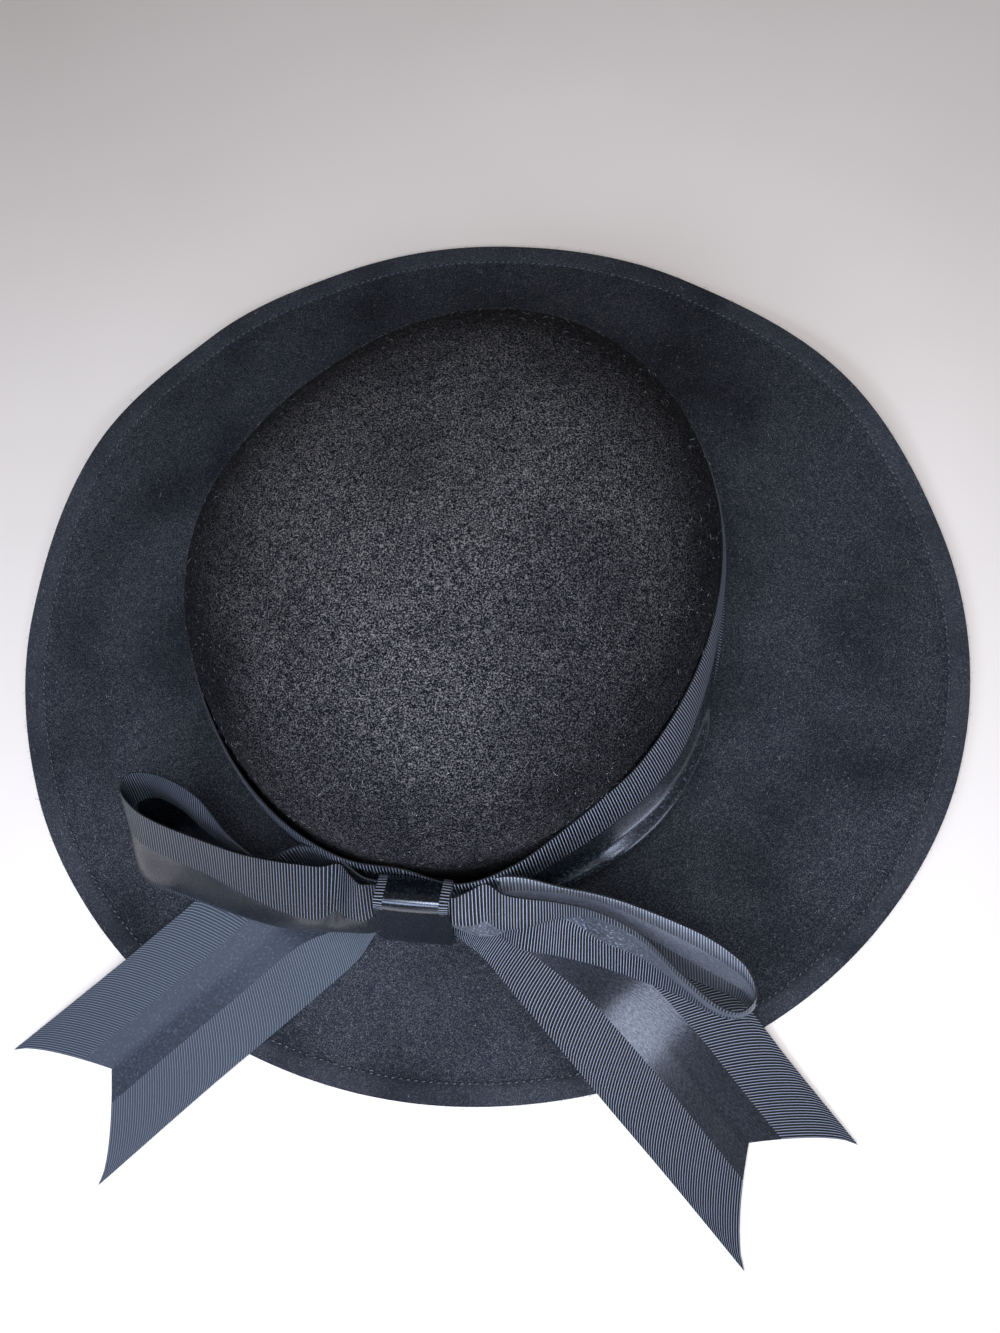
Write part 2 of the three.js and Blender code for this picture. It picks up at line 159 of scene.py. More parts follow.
@dataclass(frozen=True)
class WoolFelt:
    """Black wool felt, pressed from short fibres and brushed.

    It is dull, nearly black between the fibres and grey on them, with cloudy patches where the nap lies
    another way. The wall of the crown is darkened with painted shade at its sides and back, most low down
    and fading out near the top, less so at the front. On the brim the nap is shorter and more even. Along
    the turned hem it is rubbed a little paler.
    """

    pit: str = "#06070a"
    body: str = "#1f2127"
    crest: str = "#7e7c7b"
    cloud: str = "#0f1116"
    brim: str = "#2c343f"
    fibre_mm: float = 0.46
    clump_mm: float = 2.2
    cloud_mm: float = 42.0
    relief_mm: float = 0.3
    # Painted shade on the crown wall: full below the first height, gone above the second, eased at the front
    shade_full_below_mm: float = 86.0
    shade_gone_above_mm: float = 114.0
    painted_shade_share: float = 0.8
    shade_eased_front_mm: float = -70.0
    shade_full_behind_mm: float = -30.0
    front_painted_shade_share: float = 0.72
    brim_calm: float = 0.5
    hem: str = "#484c55"
    hem_share: float = 0.24

    def material(self) -> bpy.types.Material:
        """Makes the felt's material."""
        made, tree, shader = new_material("brushed_wool_felt")
        place = add_node(tree, "ShaderNodeTexCoord").outputs["Object"]
        fibre = add_node(tree, "ShaderNodeTexNoise",
                         {"Vector": place, "Scale": per_mm(self.fibre_mm), "Detail": 3.0, "Roughness": 0.75})
        clump = add_node(tree, "ShaderNodeTexNoise",
                         {"Vector": place, "Scale": per_mm(self.clump_mm), "Detail": 2.0, "Distortion": 1.2})
        cloud = add_node(tree, "ShaderNodeTexNoise", {"Vector": place, "Scale": per_mm(self.cloud_mm), "Detail": 2.0})
        height = add_node(tree, "ShaderNodeMix", {"Factor": 0.12, 2: fibre.outputs["Fac"], 3: clump.outputs["Fac"]})
        nap = colour_ramp(tree, height.outputs[0], {0.4: self.pit, 0.5: self.body, 0.64: self.crest})
        spot = add_node(tree, "ShaderNodeSeparateXYZ", {"Vector": place})
        level = spot.outputs["Z"]
        side = add_node(tree, "ShaderNodeMapRange",
                        {"Value": level, "From Min": 0.03, "From Max": 0.05}, interpolation_type="SMOOTHSTEP")
        calm = add_node(tree, "ShaderNodeMapRange", {"Value": side.outputs["Result"], "To Min": self.brim_calm, "To Max": 0.0})
        nap = add_node(tree, "ShaderNodeMix", {"Factor": calm.outputs["Result"], 6: nap, 7: linear(self.brim)},
                       data_type="RGBA").outputs[2]
        turned = add_node(tree, "ShaderNodeAttribute", attribute_name=FeltBody.HEM)
        worn = add_node(tree, "ShaderNodeMath", {0: turned.outputs["Fac"], 1: self.hem_share}, operation="MULTIPLY")
        nap = add_node(tree, "ShaderNodeMix", {"Factor": worn.outputs[0], 6: nap, 7: linear(self.hem)},
                       data_type="RGBA").outputs[2]
        patches = add_node(tree, "ShaderNodeMapRange",
                           {"Value": cloud.outputs["Fac"], "From Min": 0.45, "From Max": 0.7, "To Max": 0.55})
        colour = add_node(tree, "ShaderNodeMix", {"Factor": patches.outputs["Result"], 6: nap, 7: linear(self.cloud)},
                          data_type="RGBA")
        # Painted shade: darkens the crown wall up to near its top, and less at its front
        flat = add_node(tree, "ShaderNodeMapRange",
                        {"Value": level, "From Min": self.shade_full_below_mm * MM, "From Max": self.shade_gone_above_mm * MM,
                         "To Min": self.painted_shade_share, "To Max": 0.0}, interpolation_type="SMOOTHSTEP")
        behind = add_node(tree, "ShaderNodeMapRange",
                          {"Value": spot.outputs["Y"], "From Min": self.shade_eased_front_mm * MM,
                           "From Max": self.shade_full_behind_mm * MM, "To Min": self.front_painted_shade_share, "To Max": 1.0},
                          interpolation_type="SMOOTHSTEP")
        wall = add_node(tree, "ShaderNodeMath", {0: side.outputs["Result"], 1: behind.outputs["Result"]},
                        operation="MULTIPLY")
        pressed = add_node(tree, "ShaderNodeMath", {0: wall.outputs[0], 1: flat.outputs["Result"]},
                           operation="MULTIPLY")
        # Mixes the painted shade into the colour, towards the pit colour
        tone = add_node(tree, "ShaderNodeMix", {"Factor": pressed.outputs[0], 6: colour.outputs[2], 7: linear(self.pit)},
                        data_type="RGBA")
        bump = add_node(tree, "ShaderNodeBump",
                        {"Height": height.outputs[0], "Strength": 0.9, "Distance": self.relief_mm * MM})
        tree.links.new(tone.outputs[2], shader.inputs["Base Color"])
        tree.links.new(bump.outputs["Normal"], shader.inputs["Normal"])
        shader.inputs["Roughness"].default_value = 0.95
        shader.inputs["Specular IOR Level"].default_value = 0.02
        return made


@dataclass(frozen=True)
class WoolFibre:
    """Loose wool fibres that stand out of the felt, mostly charcoal with a few pale ones."""

    dark: str = "#121317"
    grey: str = "#43454c"
    pale: str = "#a4a9b0"

    def material(self) -> bpy.types.Material:
        """Makes the fibres' material, which reads each fibre's own shade."""
        made, tree, shader = new_material("wool_fibre")
        shade = add_node(tree, "ShaderNodeAttribute", attribute_name="shade")
        colour = colour_ramp(tree, shade.outputs["Fac"], {0.0: self.dark, 0.52: self.grey, 0.78: self.pale})
        tree.links.new(colour, shader.inputs["Base Color"])
        shader.inputs["Roughness"].default_value = 0.7
        shader.inputs["Specular IOR Level"].default_value = 0.3
        return made


@dataclass(frozen=True)
class HemThread:
    """Grey polyester sewing thread, twisted, with a soft shine, paler than the felt that it holds."""

    valley: str = "#30353d"
    crest: str = "#646b75"
    twist_mm: float = 0.35

    def material(self) -> bpy.types.Material:
        """Makes the thread's material."""
        made, tree, shader = new_material("sewing_thread")
        place = add_node(tree, "ShaderNodeTexCoord").outputs["Object"]
        twist = add_node(tree, "ShaderNodeTexNoise", {"Vector": place, "Scale": per_mm(self.twist_mm), "Detail": 1.0})
        colour = colour_ramp(tree, twist.outputs["Fac"], {0.35: self.valley, 0.65: self.crest})
        tree.links.new(colour, shader.inputs["Base Color"])
        shader.inputs["Roughness"].default_value = 0.5
        return made


@dataclass(frozen=True)
class Grosgrain:
    """Ribbed ribbon weave: thick weft cords across the ribbon under a close black warp.

    Each cord's crest is painted pale, a painted highlight for the shine along the cord, beside a black gap,
    and the fuzz of the yarn gives a cool sheen where the ribbon is seen edge on. The cords of the real
    ribbon are 0.8 mm apart; they are drawn at 1 mm, because finer ones run together in the picture.
    """

    name: str = "grosgrain_weave"
    gap: str = "#020203"
    # Painted highlight: the pale crest colour stands in for the shine along each cord
    crest: str = "#8b96a9"
    dark_to: float = 0.68
    painted_highlight_from: float = 0.95
    rib_mm: float = 1.0
    relief_mm: float = 0.3
    fuzz: float = 0.0
    fuzz_tint: str = "#c3cfe6"

    def material(self) -> bpy.types.Material:
        """Makes the ribbed weave's material, on the ribbon's own map in millimetres."""
        made, tree, shader = new_material(self.name)
        flat = add_node(tree, "ShaderNodeUVMap", uv_map=RibbonPiece.MAP).outputs["UV"]
        along = add_node(tree, "ShaderNodeSeparateXYZ", {"Vector": flat}).outputs["Y"]
        turn = add_node(tree, "ShaderNodeMath", {0: along, 1: math.tau / self.rib_mm}, operation="MULTIPLY")
        wave = add_node(tree, "ShaderNodeMath", {0: turn.outputs[0]}, operation="SINE")
        rib = add_node(tree, "ShaderNodeMapRange", {"Value": wave.outputs[0], "From Min": -1.0})
        stretch = add_node(tree, "ShaderNodeMapping", {"Vector": flat, "Scale": (1.6, 4.0, 1.0)})
        yarn = add_node(tree, "ShaderNodeTexNoise", {"Vector": stretch.outputs["Vector"], "Scale": 1.0, "Detail": 2.0})
        height = add_node(tree, "ShaderNodeMix", {"Factor": 0.14, 2: rib.outputs["Result"], 3: yarn.outputs["Fac"]})
        # Painted highlight on the rib crests; the gaps keep the ribbon's black
        colour = colour_ramp(tree, height.outputs[0], {self.dark_to: self.gap, self.painted_highlight_from: self.crest})
        bump = add_node(tree, "ShaderNodeBump",
                        {"Height": height.outputs[0], "Strength": 1.0, "Distance": self.relief_mm * MM})
        tree.links.new(colour, shader.inputs["Base Color"])
        tree.links.new(bump.outputs["Normal"], shader.inputs["Normal"])
        shader.inputs["Roughness"].default_value = 0.42
        shader.inputs["Specular IOR Level"].default_value = 0.18
        shader.inputs["Sheen Weight"].default_value = self.fuzz
        shader.inputs["Sheen Tint"].default_value = linear(self.fuzz_tint)
        return made


@dataclass(frozen=True)
class Satin:
    """Satin ribbon weave: long black polyester floats that lie along the ribbon.

    It is smooth and nearly black, with a broad soft gleam where it faces the light and a fine grain of
    threads and lint inside it. The threads are about 0.2 mm wide and are drawn coarser, so that they show.
    """

    name: str = "satin_weave"
    shade: str = "#030406"
    float_tone: str = "#0b0e14"
    lint: str = "#20262e"
    thread_mm: float = 0.5
    float_mm: float = 1.6
    lint_mm: float = 0.8
    gleam: str = "#cdd7ea"
    smooth: float = 0.2
    coarse: float = 0.29
    fuzz: float = 0.0
    fuzz_tint: str = "#c3cfe6"

    def material(self) -> bpy.types.Material:
        """Makes the satin's material, on the ribbon's own map in millimetres."""
        made, tree, shader = new_material(self.name)
        flat = add_node(tree, "ShaderNodeUVMap", uv_map=RibbonPiece.MAP).outputs["UV"]
        scale = (1 / self.thread_mm, 1 / self.float_mm, 1.0)
        stretch = add_node(tree, "ShaderNodeMapping", {"Vector": flat, "Scale": scale})
        floats = add_node(tree, "ShaderNodeTexNoise", {"Vector": stretch.outputs["Vector"], "Scale": 1.0, "Detail": 2.0})
        weave = colour_ramp(tree, floats.outputs["Fac"], {0.3: self.shade, 0.75: self.float_tone})
        place = add_node(tree, "ShaderNodeTexCoord").outputs["Object"]
        specks = add_node(tree, "ShaderNodeTexNoise", {"Vector": place, "Scale": per_mm(self.lint_mm), "Detail": 2.0})
        linty = add_node(tree, "ShaderNodeMapRange", {"Value": specks.outputs["Fac"], "From Min": 0.54, "From Max": 0.72})
        colour = add_node(tree, "ShaderNodeMix", {"Factor": linty.outputs["Result"], 6: weave, 7: linear(self.lint)},
                          data_type="RGBA")
        rough = add_node(tree, "ShaderNodeMapRange",
                         {"Value": floats.outputs["Fac"], "From Min": 0.3, "From Max": 0.7,
                          "To Min": self.smooth, "To Max": self.coarse})
        bump = add_node(tree, "ShaderNodeBump", {"Height": floats.outputs["Fac"], "Strength": 0.5, "Distance": 0.05 * MM})
        across = add_node(tree, "ShaderNodeTangent", direction_type="UV_MAP", uv_map=RibbonPiece.MAP)
        tree.links.new(colour.outputs[2], shader.inputs["Base Color"])
        tree.links.new(rough.outputs["Result"], shader.inputs["Roughness"])
        tree.links.new(bump.outputs["Normal"], shader.inputs["Normal"])
        tree.links.new(across.outputs["Tangent"], shader.inputs["Tangent"])
        shader.inputs["Anisotropic"].default_value = 0.7
        shader.inputs["Specular IOR Level"].default_value = 1.0
        shader.inputs["Specular Tint"].default_value = linear(self.gleam)
        shader.inputs["Sheen Weight"].default_value = self.fuzz
        shader.inputs["Sheen Tint"].default_value = linear(self.fuzz_tint)
        return made


@dataclass(frozen=True)
class Selvedge:
    """Bound edge of the ribbon, a close dark weave with no shine."""

    gap: str = "#050608"
    crest: str = "#14161b"
    turn_mm: float = 0.8

    def material(self) -> bpy.types.Material:
        """Makes the edge's material."""
        made, tree, shader = new_material("ribbon_selvedge")
        place = add_node(tree, "ShaderNodeTexCoord").outputs["Object"]
        turns = add_node(tree, "ShaderNodeTexNoise", {"Vector": place, "Scale": per_mm(self.turn_mm), "Detail": 1.0})
        colour = colour_ramp(tree, turns.outputs["Fac"], {0.35: self.gap, 0.65: self.crest})
        tree.links.new(colour, shader.inputs["Base Color"])
        shader.inputs["Roughness"].default_value = 0.7
        shader.inputs["Specular IOR Level"].default_value = 0.3
        return made


@dataclass(frozen=True)
class PaleFloor:
    """Matt white board with a faint warm tint."""

    tone: str = "#f5efe9"
    shade: str = "#efe9e2"

    def material(self) -> bpy.types.Material:
        """Makes the floor's material."""
        made, tree, shader = new_material("matt_white_board")
        place = add_node(tree, "ShaderNodeTexCoord").outputs["Object"]
        grain = add_node(tree, "ShaderNodeTexNoise", {"Vector": place, "Scale": per_mm(140.0), "Detail": 2.0})
        colour = colour_ramp(tree, grain.outputs["Fac"], {0.3: self.shade, 0.7: self.tone})
        tree.links.new(colour, shader.inputs["Base Color"])
        shader.inputs["Roughness"].default_value = 0.8
        return made


def blend(share: np.ndarray | float, low: float, high: float) -> np.ndarray | float:
    """Smooth step of a value from 0 at low to 1 at high."""
    t = np.clip((share - low) / (high - low), 0, 1)
    return t * t * (3 - 2 * t)


def spline(points: np.ndarray, at: np.ndarray) -> np.ndarray:
    """Smooth curve through evenly numbered points.

    Args:
        points: The points, first axis along the curve.
        at: Places from 0 at the first point to 1 at the last.

    Returns:
        The curve's points at those places.
    """
    last = len(points) - 1
    place = np.clip(at, 0, 1) * last
    left = np.minimum(place.astype(int), last - 1)
    t = (place - left).reshape(-1, *[1] * (points.ndim - 1))
    padded = np.concatenate([2 * points[:1] - points[1:2], points, 2 * points[-1:] - points[-2:-1]])
    a, b, c, d = (padded[left + i] for i in range(4))
    return 0.5 * (2 * b + (c - a) * t + (2 * a - 5 * b + 4 * c - d) * t ** 2 + (3 * b - a - 3 * c + d) * t ** 3)


def lengths_along(line: np.ndarray) -> np.ndarray:
    """Distance of each point of a line from its start, along the line."""
    steps = np.linalg.norm(np.diff(line, axis=0), axis=1)
    return np.concatenate([[0.0], np.cumsum(steps)])


def to_row(points: np.ndarray) -> np.ndarray:
    """Moves points from the crown's axis in millimetres to the row frame in metres."""
    return (points + CROWN_AXIS) * MM


def activate(piece: bpy.types.Object) -> None:
    """Makes a piece the only selected and the active object."""
    bpy.ops.object.select_all(action="DESELECT")
    piece.select_set(True)
    bpy.context.view_layer.objects.active = piece


def apply_modifier(piece: bpy.types.Object, kind: str, **settings) -> None:
    """Adds a modifier to a piece and applies it.

    Args:
        piece: The piece.
        kind: The modifier's type.
        **settings: The modifier's properties.
    """
    activate(piece)
    modifier = piece.modifiers.new(kind.lower(), kind)
    for name, value in settings.items():
        setattr(modifier, name, value)
    bpy.ops.object.modifier_apply(modifier=modifier.name)


def mesh_points(mesh: bpy.types.Mesh) -> np.ndarray:
    """The points of a mesh as an array."""
    points = np.zeros(len(mesh.vertices) * 3)
    mesh.vertices.foreach_get("co", points)
    return points.reshape(-1, 3)


def piece_from(name: str, points: np.ndarray, faces: np.ndarray) -> bpy.types.Object:
    """Makes an object from points in the row frame and the faces between them.

    Args:
        name: The piece's name.
        points: Points in metres.
        faces: Point numbers of each face.

    Returns:
        The new object.
    """
    mesh = bpy.data.meshes.new(name)
    mesh.from_pydata(points.tolist(), [], faces.tolist())
    mesh.update()
    piece = bpy.data.objects.new(name, mesh)
    bpy.context.scene.collection.objects.link(piece)
    return piece


@dataclass(frozen=True)
class Wave:
    """One wave round a plan: how many crests it has, how high they are and where one is, in degrees."""

    crests: int
    height: float
    crest: float


@dataclass(frozen=True)
class Dent:
    """A shallow dent in the top of the crown: its middle, its spread and its depth."""

    x: float
    y: float
    spread: float
    depth: float


@dataclass
class FeltBody:
    """Crown and brim, blocked from one piece of felt, with a turned and stitched hem."""

    HEM = "hem"

    thickness: float = 2.4
    crown_radius: float = 93.0
    crown_height: float = 91.5
    crown_taper: float = 0.0955
    crown_lean: float = -2.9
    dome_start: float = 0.45
    dome_power: float = 2.57
    join_z: float = 20.0
    crease: float = 6.0
    brim_reach: float = 171.5
    brim_droop: float = 1.25
    hem_width: float = 6.5
    hem_rise: float = 0.9
    hem_foot: float = 1.0
    stitch_dip: float = 0.3
    edge_round: float = 0.9
    unevenness: float = 0.35
    tuck_depth: float = 3.5
    tuck_spread: float = 22.0
    tail_fall: float = 26.0
    band_press: float = 0.9
    band_top: float = 56.0
    band_lip: float = 3.0
    columns: int = 240
    crown_waves: tuple[Wave, ...] = (
        Wave(1, 0.0099, 48), Wave(2, 0.0667, 75), Wave(3, 0.0212, 51), Wave(4, 0.0157, -3))
    brim_waves: tuple[Wave, ...] = (Wave(1, 3.2, 29), Wave(2, 3.9, 7), Wave(3, 2.1, -12))
    # Height of the brim's edge above the floor, by azimuth
    brim_lift: tuple[tuple[float, float], ...] = (
        (20, 4), (42, 9.5), (68, 3), (95, 0), (118, 0), (138, 4), (160, 10), (185, 5), (208, 2),
        (226, 0), (252, 0), (275, 2.5), (300, 0), (330, 0), (350, 3), (380, 4))
    dents: tuple[Dent, ...] = (Dent(-12, 32, 20, 3.0), Dent(-50, -12, 15, 2.6))
    dent_from_z: float = 75.0
    dent_full_z: float = 95.0
    piece: bpy.types.Object | None = field(default=None, init=False)

    def crown_plan(self, azimuth: np.ndarray) -> np.ndarray:
        """Outer radius at the crown's foot, by azimuth in radians."""
        share = 1 + sum(w.height * np.cos(w.crests * (azimuth - math.radians(w.crest))) for w in self.crown_waves)
        from_bow = np.degrees(np.angle(np.exp(1j * (azimuth - BOW_AZIMUTH)))) / self.tuck_spread
        return self.crown_radius * share - self.tuck_depth * np.exp(-from_bow ** 2 / 2)

    def reach(self, azimuth: np.ndarray) -> np.ndarray:
        """Distance of the brim's edge from the crown's axis."""
        waves = sum(w.height * np.cos(w.crests * (azimuth - math.radians(w.crest))) for w in self.brim_waves)
        return self.brim_reach + waves

    def lift(self, azimuth: np.ndarray) -> np.ndarray:
        """Height of the underside of the brim's edge above the floor."""
        rows = np.array(self.brim_lift, float)
        degrees = (np.degrees(azimuth) - rows[0, 0]) % 360 + rows[0, 0]
        left = np.clip(np.searchsorted(rows[:, 0], degrees) - 1, 0, len(rows) - 2)
        t = (degrees - rows[left, 0]) / (rows[left + 1, 0] - rows[left, 0])
        return rows[left, 1] + (rows[left + 1, 1] - rows[left, 1]) * blend(t, 0, 1)

    def crown_share(self, level: np.ndarray | float) -> np.ndarray | float:
        """Share of the foot's radius at a level from the join (0) to the top (1)."""
        rounding = np.clip((level - self.dome_start) / (1 - self.dome_start), 0, 1)
        return (1 - self.crown_taper * level) * (1 - rounding ** self.dome_power) ** (1 / self.dome_power)

    def foot(self, azimuth: np.ndarray) -> np.ndarray:
        """Radius where the crease ends and the brim begins."""
        return self.crown_plan(azimuth) * self.crown_share(self.crease / self.crown_height) + self.crease

    def wall(self, azimuth: np.ndarray, rise: np.ndarray) -> np.ndarray:
        """Outer radius of the crown's wall at a rise above the join, with the crease at its foot."""
        crown = self.crown_plan(azimuth) * self.crown_share(rise / self.crown_height)
        inward = np.sqrt(np.clip(self.crease ** 2 - (self.crease - rise) ** 2, 0, None))
        return np.where(rise >= self.crease, crown, self.foot(azimuth) - inward)

    def press(self, rise: np.ndarray | float) -> np.ndarray | float:
        """Depth to which the band presses the felt, with a soft lip above the band's top edge."""
        return self.band_press * (1 - blend(rise, self.band_top, self.band_top + self.band_lip)) * blend(rise, 0, self.crease)

    def brim_top(self, azimuth: np.ndarray, radius: np.ndarray) -> np.ndarray:
        """Height of the brim's top face, and past its edge of a smooth fall to the floor."""
        foot = self.foot(azimuth)
        reach = self.reach(azimuth)
        hem = reach - self.hem_width
        edge = self.thickness + self.lift(azimuth)
        along = np.clip((radius - foot) / (hem - self.hem_foot - foot), 0, 1)
        slope = self.join_z + (edge - self.join_z) * (1 - (1 - along) ** self.brim_droop)
        inward = np.clip(foot - radius, 0, self.crease)
        crease = self.crease - np.sqrt(self.crease ** 2 - inward ** 2)
        rise = self.hem_rise * blend(radius - hem, -self.hem_foot, 0)
        return (slope + crease + rise) * (1 - blend(radius - reach, 0, self.tail_fall))

    def profile(self, azimuth: np.ndarray) -> list[tuple[np.ndarray, np.ndarray]]:
        """Radius and height of each ring of the felt's outer face, from the top of the crown to the edge.

        Args:
            azimuth: The columns' azimuths in radians.

        Returns:
            Rings, each as the radii and the heights of its points.
        """
        plan = self.crown_plan(azimuth)
        rings = []
        for turn in np.linspace(math.radians(88.6), 0, 48):
            level = self.dome_start + (1 - self.dome_start) * math.sin(turn) ** (2 / self.dome_power)
            share = (1 - self.crown_taper * level) * math.cos(turn) ** (2 / self.dome_power)
            rings.append((plan * share, np.full_like(plan, self.join_z + self.crown_height * level)))
        for level in np.linspace(self.dome_start, self.crease / self.crown_height, 13)[1:]:
            rings.append((plan * self.crown_share(level), np.full_like(plan, self.join_z + self.crown_height * level)))
        rings = [(radius - self.press(z - self.join_z), z) for radius, z in rings]
        foot = self.foot(azimuth)
        for turn in np.radians(np.linspace(180, 270, 8))[1:]:
            z = self.join_z + self.crease * (1 + math.sin(turn))
            rings.append((foot + self.crease * math.cos(turn), np.full_like(plan, z)))
        reach = self.reach(azimuth)
        stitch = reach - self.hem_width - self.hem_foot
        for share in np.linspace(0, 1, 28)[1:]:
            radius = foot + (stitch - foot) * share
            rings.append((radius, self.brim_top(azimuth, radius)))
        rings[-1] = (rings[-1][0], rings[-1][1] - self.stitch_dip)
        for inside in (0.92, 0.8, 0.5, 0.2, 0.0):
            radius = reach - self.hem_width * inside
            rings.append((radius, self.brim_top(azimuth, radius)))
        return rings

    def build(self) -> bpy.types.Object:
        """Models the felt: a circle extruded ring by ring, shaped, closed on top and given its thickness.

        Returns:
            The felt's object.
        """
        bpy.ops.object.select_all(action="DESELECT")
        azimuth = np.arange(self.columns) * math.tau / self.columns
        rings = self.profile(azimuth)
        mean = [(float(radius.mean()), float(z.mean())) for radius, z in rings]
        bpy.ops.mesh.primitive_circle_add(vertices=self.columns, radius=mean[0][0] * MM, location=(0, 0, 0))
        piece = bpy.context.object
        piece.name = "wool_felt_body"
        bpy.ops.object.mode_set(mode="EDIT")
        bpy.ops.mesh.select_all(action="SELECT")
        for (radius, z), (next_radius, next_z) in pairwise(mean):
            bpy.ops.mesh.extrude_edges_move(TRANSFORM_OT_translate={"value": (0, 0, (next_z - z) * MM)})
            grow = next_radius / radius
            bpy.ops.transform.resize(value=(grow, grow, 1))
        bpy.ops.object.mode_set(mode="OBJECT")
        self.shape(piece, rings)
        self.close_top(piece)
        apply_modifier(piece, "SOLIDIFY", thickness=self.thickness * MM, offset=-1, use_even_offset=True)
        apply_modifier(piece, "BEVEL", width=self.edge_round * MM, segments=3, limit_method="ANGLE",
                       angle_limit=math.radians(50))
        activate(piece)
        bpy.ops.object.shade_smooth()
        self.piece = piece
        return piece

    def shape(self, piece: bpy.types.Object, rings: list[tuple[np.ndarray, np.ndarray]]) -> None:
        """Moves the extruded rings to the hat's own plan, lean, dents and small unevenness.

        Args:
            piece: The felt's object, with one ring of points after another.
            rings: Radius and height of each ring's points, by azimuth.
        """
        start = mesh_points(piece.data)
        turn = np.arctan2(start[:, 1], start[:, 0]) % math.tau
        column = np.rint(turn * self.columns / math.tau).astype(int) % self.columns
        row = np.arange(len(start)) // self.columns
        radius = np.array([ring[0] for ring in rings])[row, column]
        z = np.array([ring[1] for ring in rings])[row, column]
        azimuth = column * math.tau / self.columns
        level = np.clip((z - self.join_z) / self.crown_height, 0, None)
        x = radius * np.cos(azimuth)
        y = radius * np.sin(azimuth) + self.crown_lean * level
        deep = blend(z, self.dent_from_z, self.dent_full_z)
        for dent in self.dents:
            z = z - dent.depth * deep * np.exp(-((x - dent.x) ** 2 + (y - dent.y) ** 2) / (2 * dent.spread ** 2))
        spots = np.stack([x, y, z], axis=1)
        ripple = np.array([noise.noise(Vector(spot / 26)) + 0.5 * noise.noise(Vector(spot / 9)) for spot in spots])
        inside_edge = 1 - blend(radius - self.reach(azimuth), -3 * self.hem_width, 0)
        spots[:, 2] += self.unevenness * ripple * inside_edge
        piece.data.vertices.foreach_set("co", to_row(spots).ravel())
        turned = blend(radius - self.reach(azimuth) + self.hem_width, -self.hem_foot, 0)
        piece.data.attributes.new(self.HEM, "FLOAT", "POINT").data.foreach_set("value", turned)
        piece.data.update()

    def close_top(self, piece: bpy.types.Object) -> None:
        """Closes the first ring at the top of the crown and points the faces outward."""
        activate(piece)
        for vertex in piece.data.vertices:
            vertex.select = vertex.index < self.columns
        for edge in piece.data.edges:
            edge.select = all(v < self.columns for v in edge.vertices)
        for face in piece.data.polygons:
            face.select = False
        bpy.ops.object.mode_set(mode="EDIT")
        bpy.ops.mesh.edge_face_add()
        bpy.ops.mesh.poke()
        bpy.ops.mesh.select_all(action="SELECT")
        bpy.ops.mesh.normals_make_consistent(inside=False)
        bpy.ops.object.mode_set(mode="OBJECT")
        if sum(face.normal.z * face.area for face in piece.data.polygons) < 0:
            bpy.ops.object.mode_set(mode="EDIT")
            bpy.ops.mesh.flip_normals()
            bpy.ops.object.mode_set(mode="OBJECT")

    def dress(self, finish: WoolFelt) -> None:
        """Gives the felt its finish and lets it stand for the CAD solid."""
        self.piece.data.materials.clear()
        self.piece.data.materials.append(finish.material())
        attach(self.piece, "root")
        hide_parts("felt_body")


@dataclass
class HemStitching:
    """Row of small stitches that holds the turned hem, along its inner border."""

    felt: FeltBody
    pitch: float = 2.6
    length: float = 1.5
    width: float = 0.5
    height: float = 0.4
    slant: float = 14.0
    piece: bpy.types.Object | None = field(default=None, init=False)

    def build(self) -> bpy.types.Object:
        """Models one stitch and copies it round the hem.

        Returns:
            The stitches' object.
        """
        bpy.ops.object.select_all(action="DESELECT")
        bpy.ops.mesh.primitive_uv_sphere_add(segments=6, ring_count=4, radius=0.5)
        master = bpy.context.object
        bpy.ops.object.mode_set(mode="EDIT")
        bpy.ops.transform.resize(value=(self.length, self.width, self.height))
        bpy.ops.object.mode_set(mode="OBJECT")
        stitch = mesh_points(master.data)
        faces = [list(face.vertices) for face in master.data.polygons]
        bpy.data.objects.remove(master)
        felt = self.felt
        fine = np.linspace(0, math.tau, 4000)
        radius = felt.reach(fine) - felt.hem_width - felt.hem_foot * 0.6
        line = np.stack([radius * np.cos(fine), radius * np.sin(fine), felt.brim_top(fine, radius)], axis=1)
        travel = lengths_along(line)
        count = round(travel[-1] / self.pitch)
        points = []
        polygons = []
        for i in range(count):
            azimuth = float(np.interp(travel[-1] * i / count, travel, fine))
            here = np.array([np.interp(azimuth, fine, line[:, k]) for k in range(3)])
            turn = azimuth + math.pi / 2 + math.radians(self.slant)
            rotation = np.array([[math.cos(turn), -math.sin(turn), 0], [math.sin(turn), math.cos(turn), 0], [0, 0, 1]])
            polygons += [[v + i * len(stitch) for v in face] for face in faces]
            points.append(stitch @ rotation.T + here)
        mesh = bpy.data.meshes.new("hem_stitching")
        mesh.from_pydata(to_row(np.concatenate(points)).tolist(), [], polygons)
        self.piece = bpy.data.objects.new("hem_stitching", mesh)
        bpy.context.scene.collection.objects.link(self.piece)
        activate(self.piece)
        bpy.ops.object.shade_smooth()
        return self.piece

    def dress(self, finish: HemThread) -> None:
        """Gives the stitches their finish."""
        self.piece.data.materials.append(finish.material())
        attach(self.piece, "root")


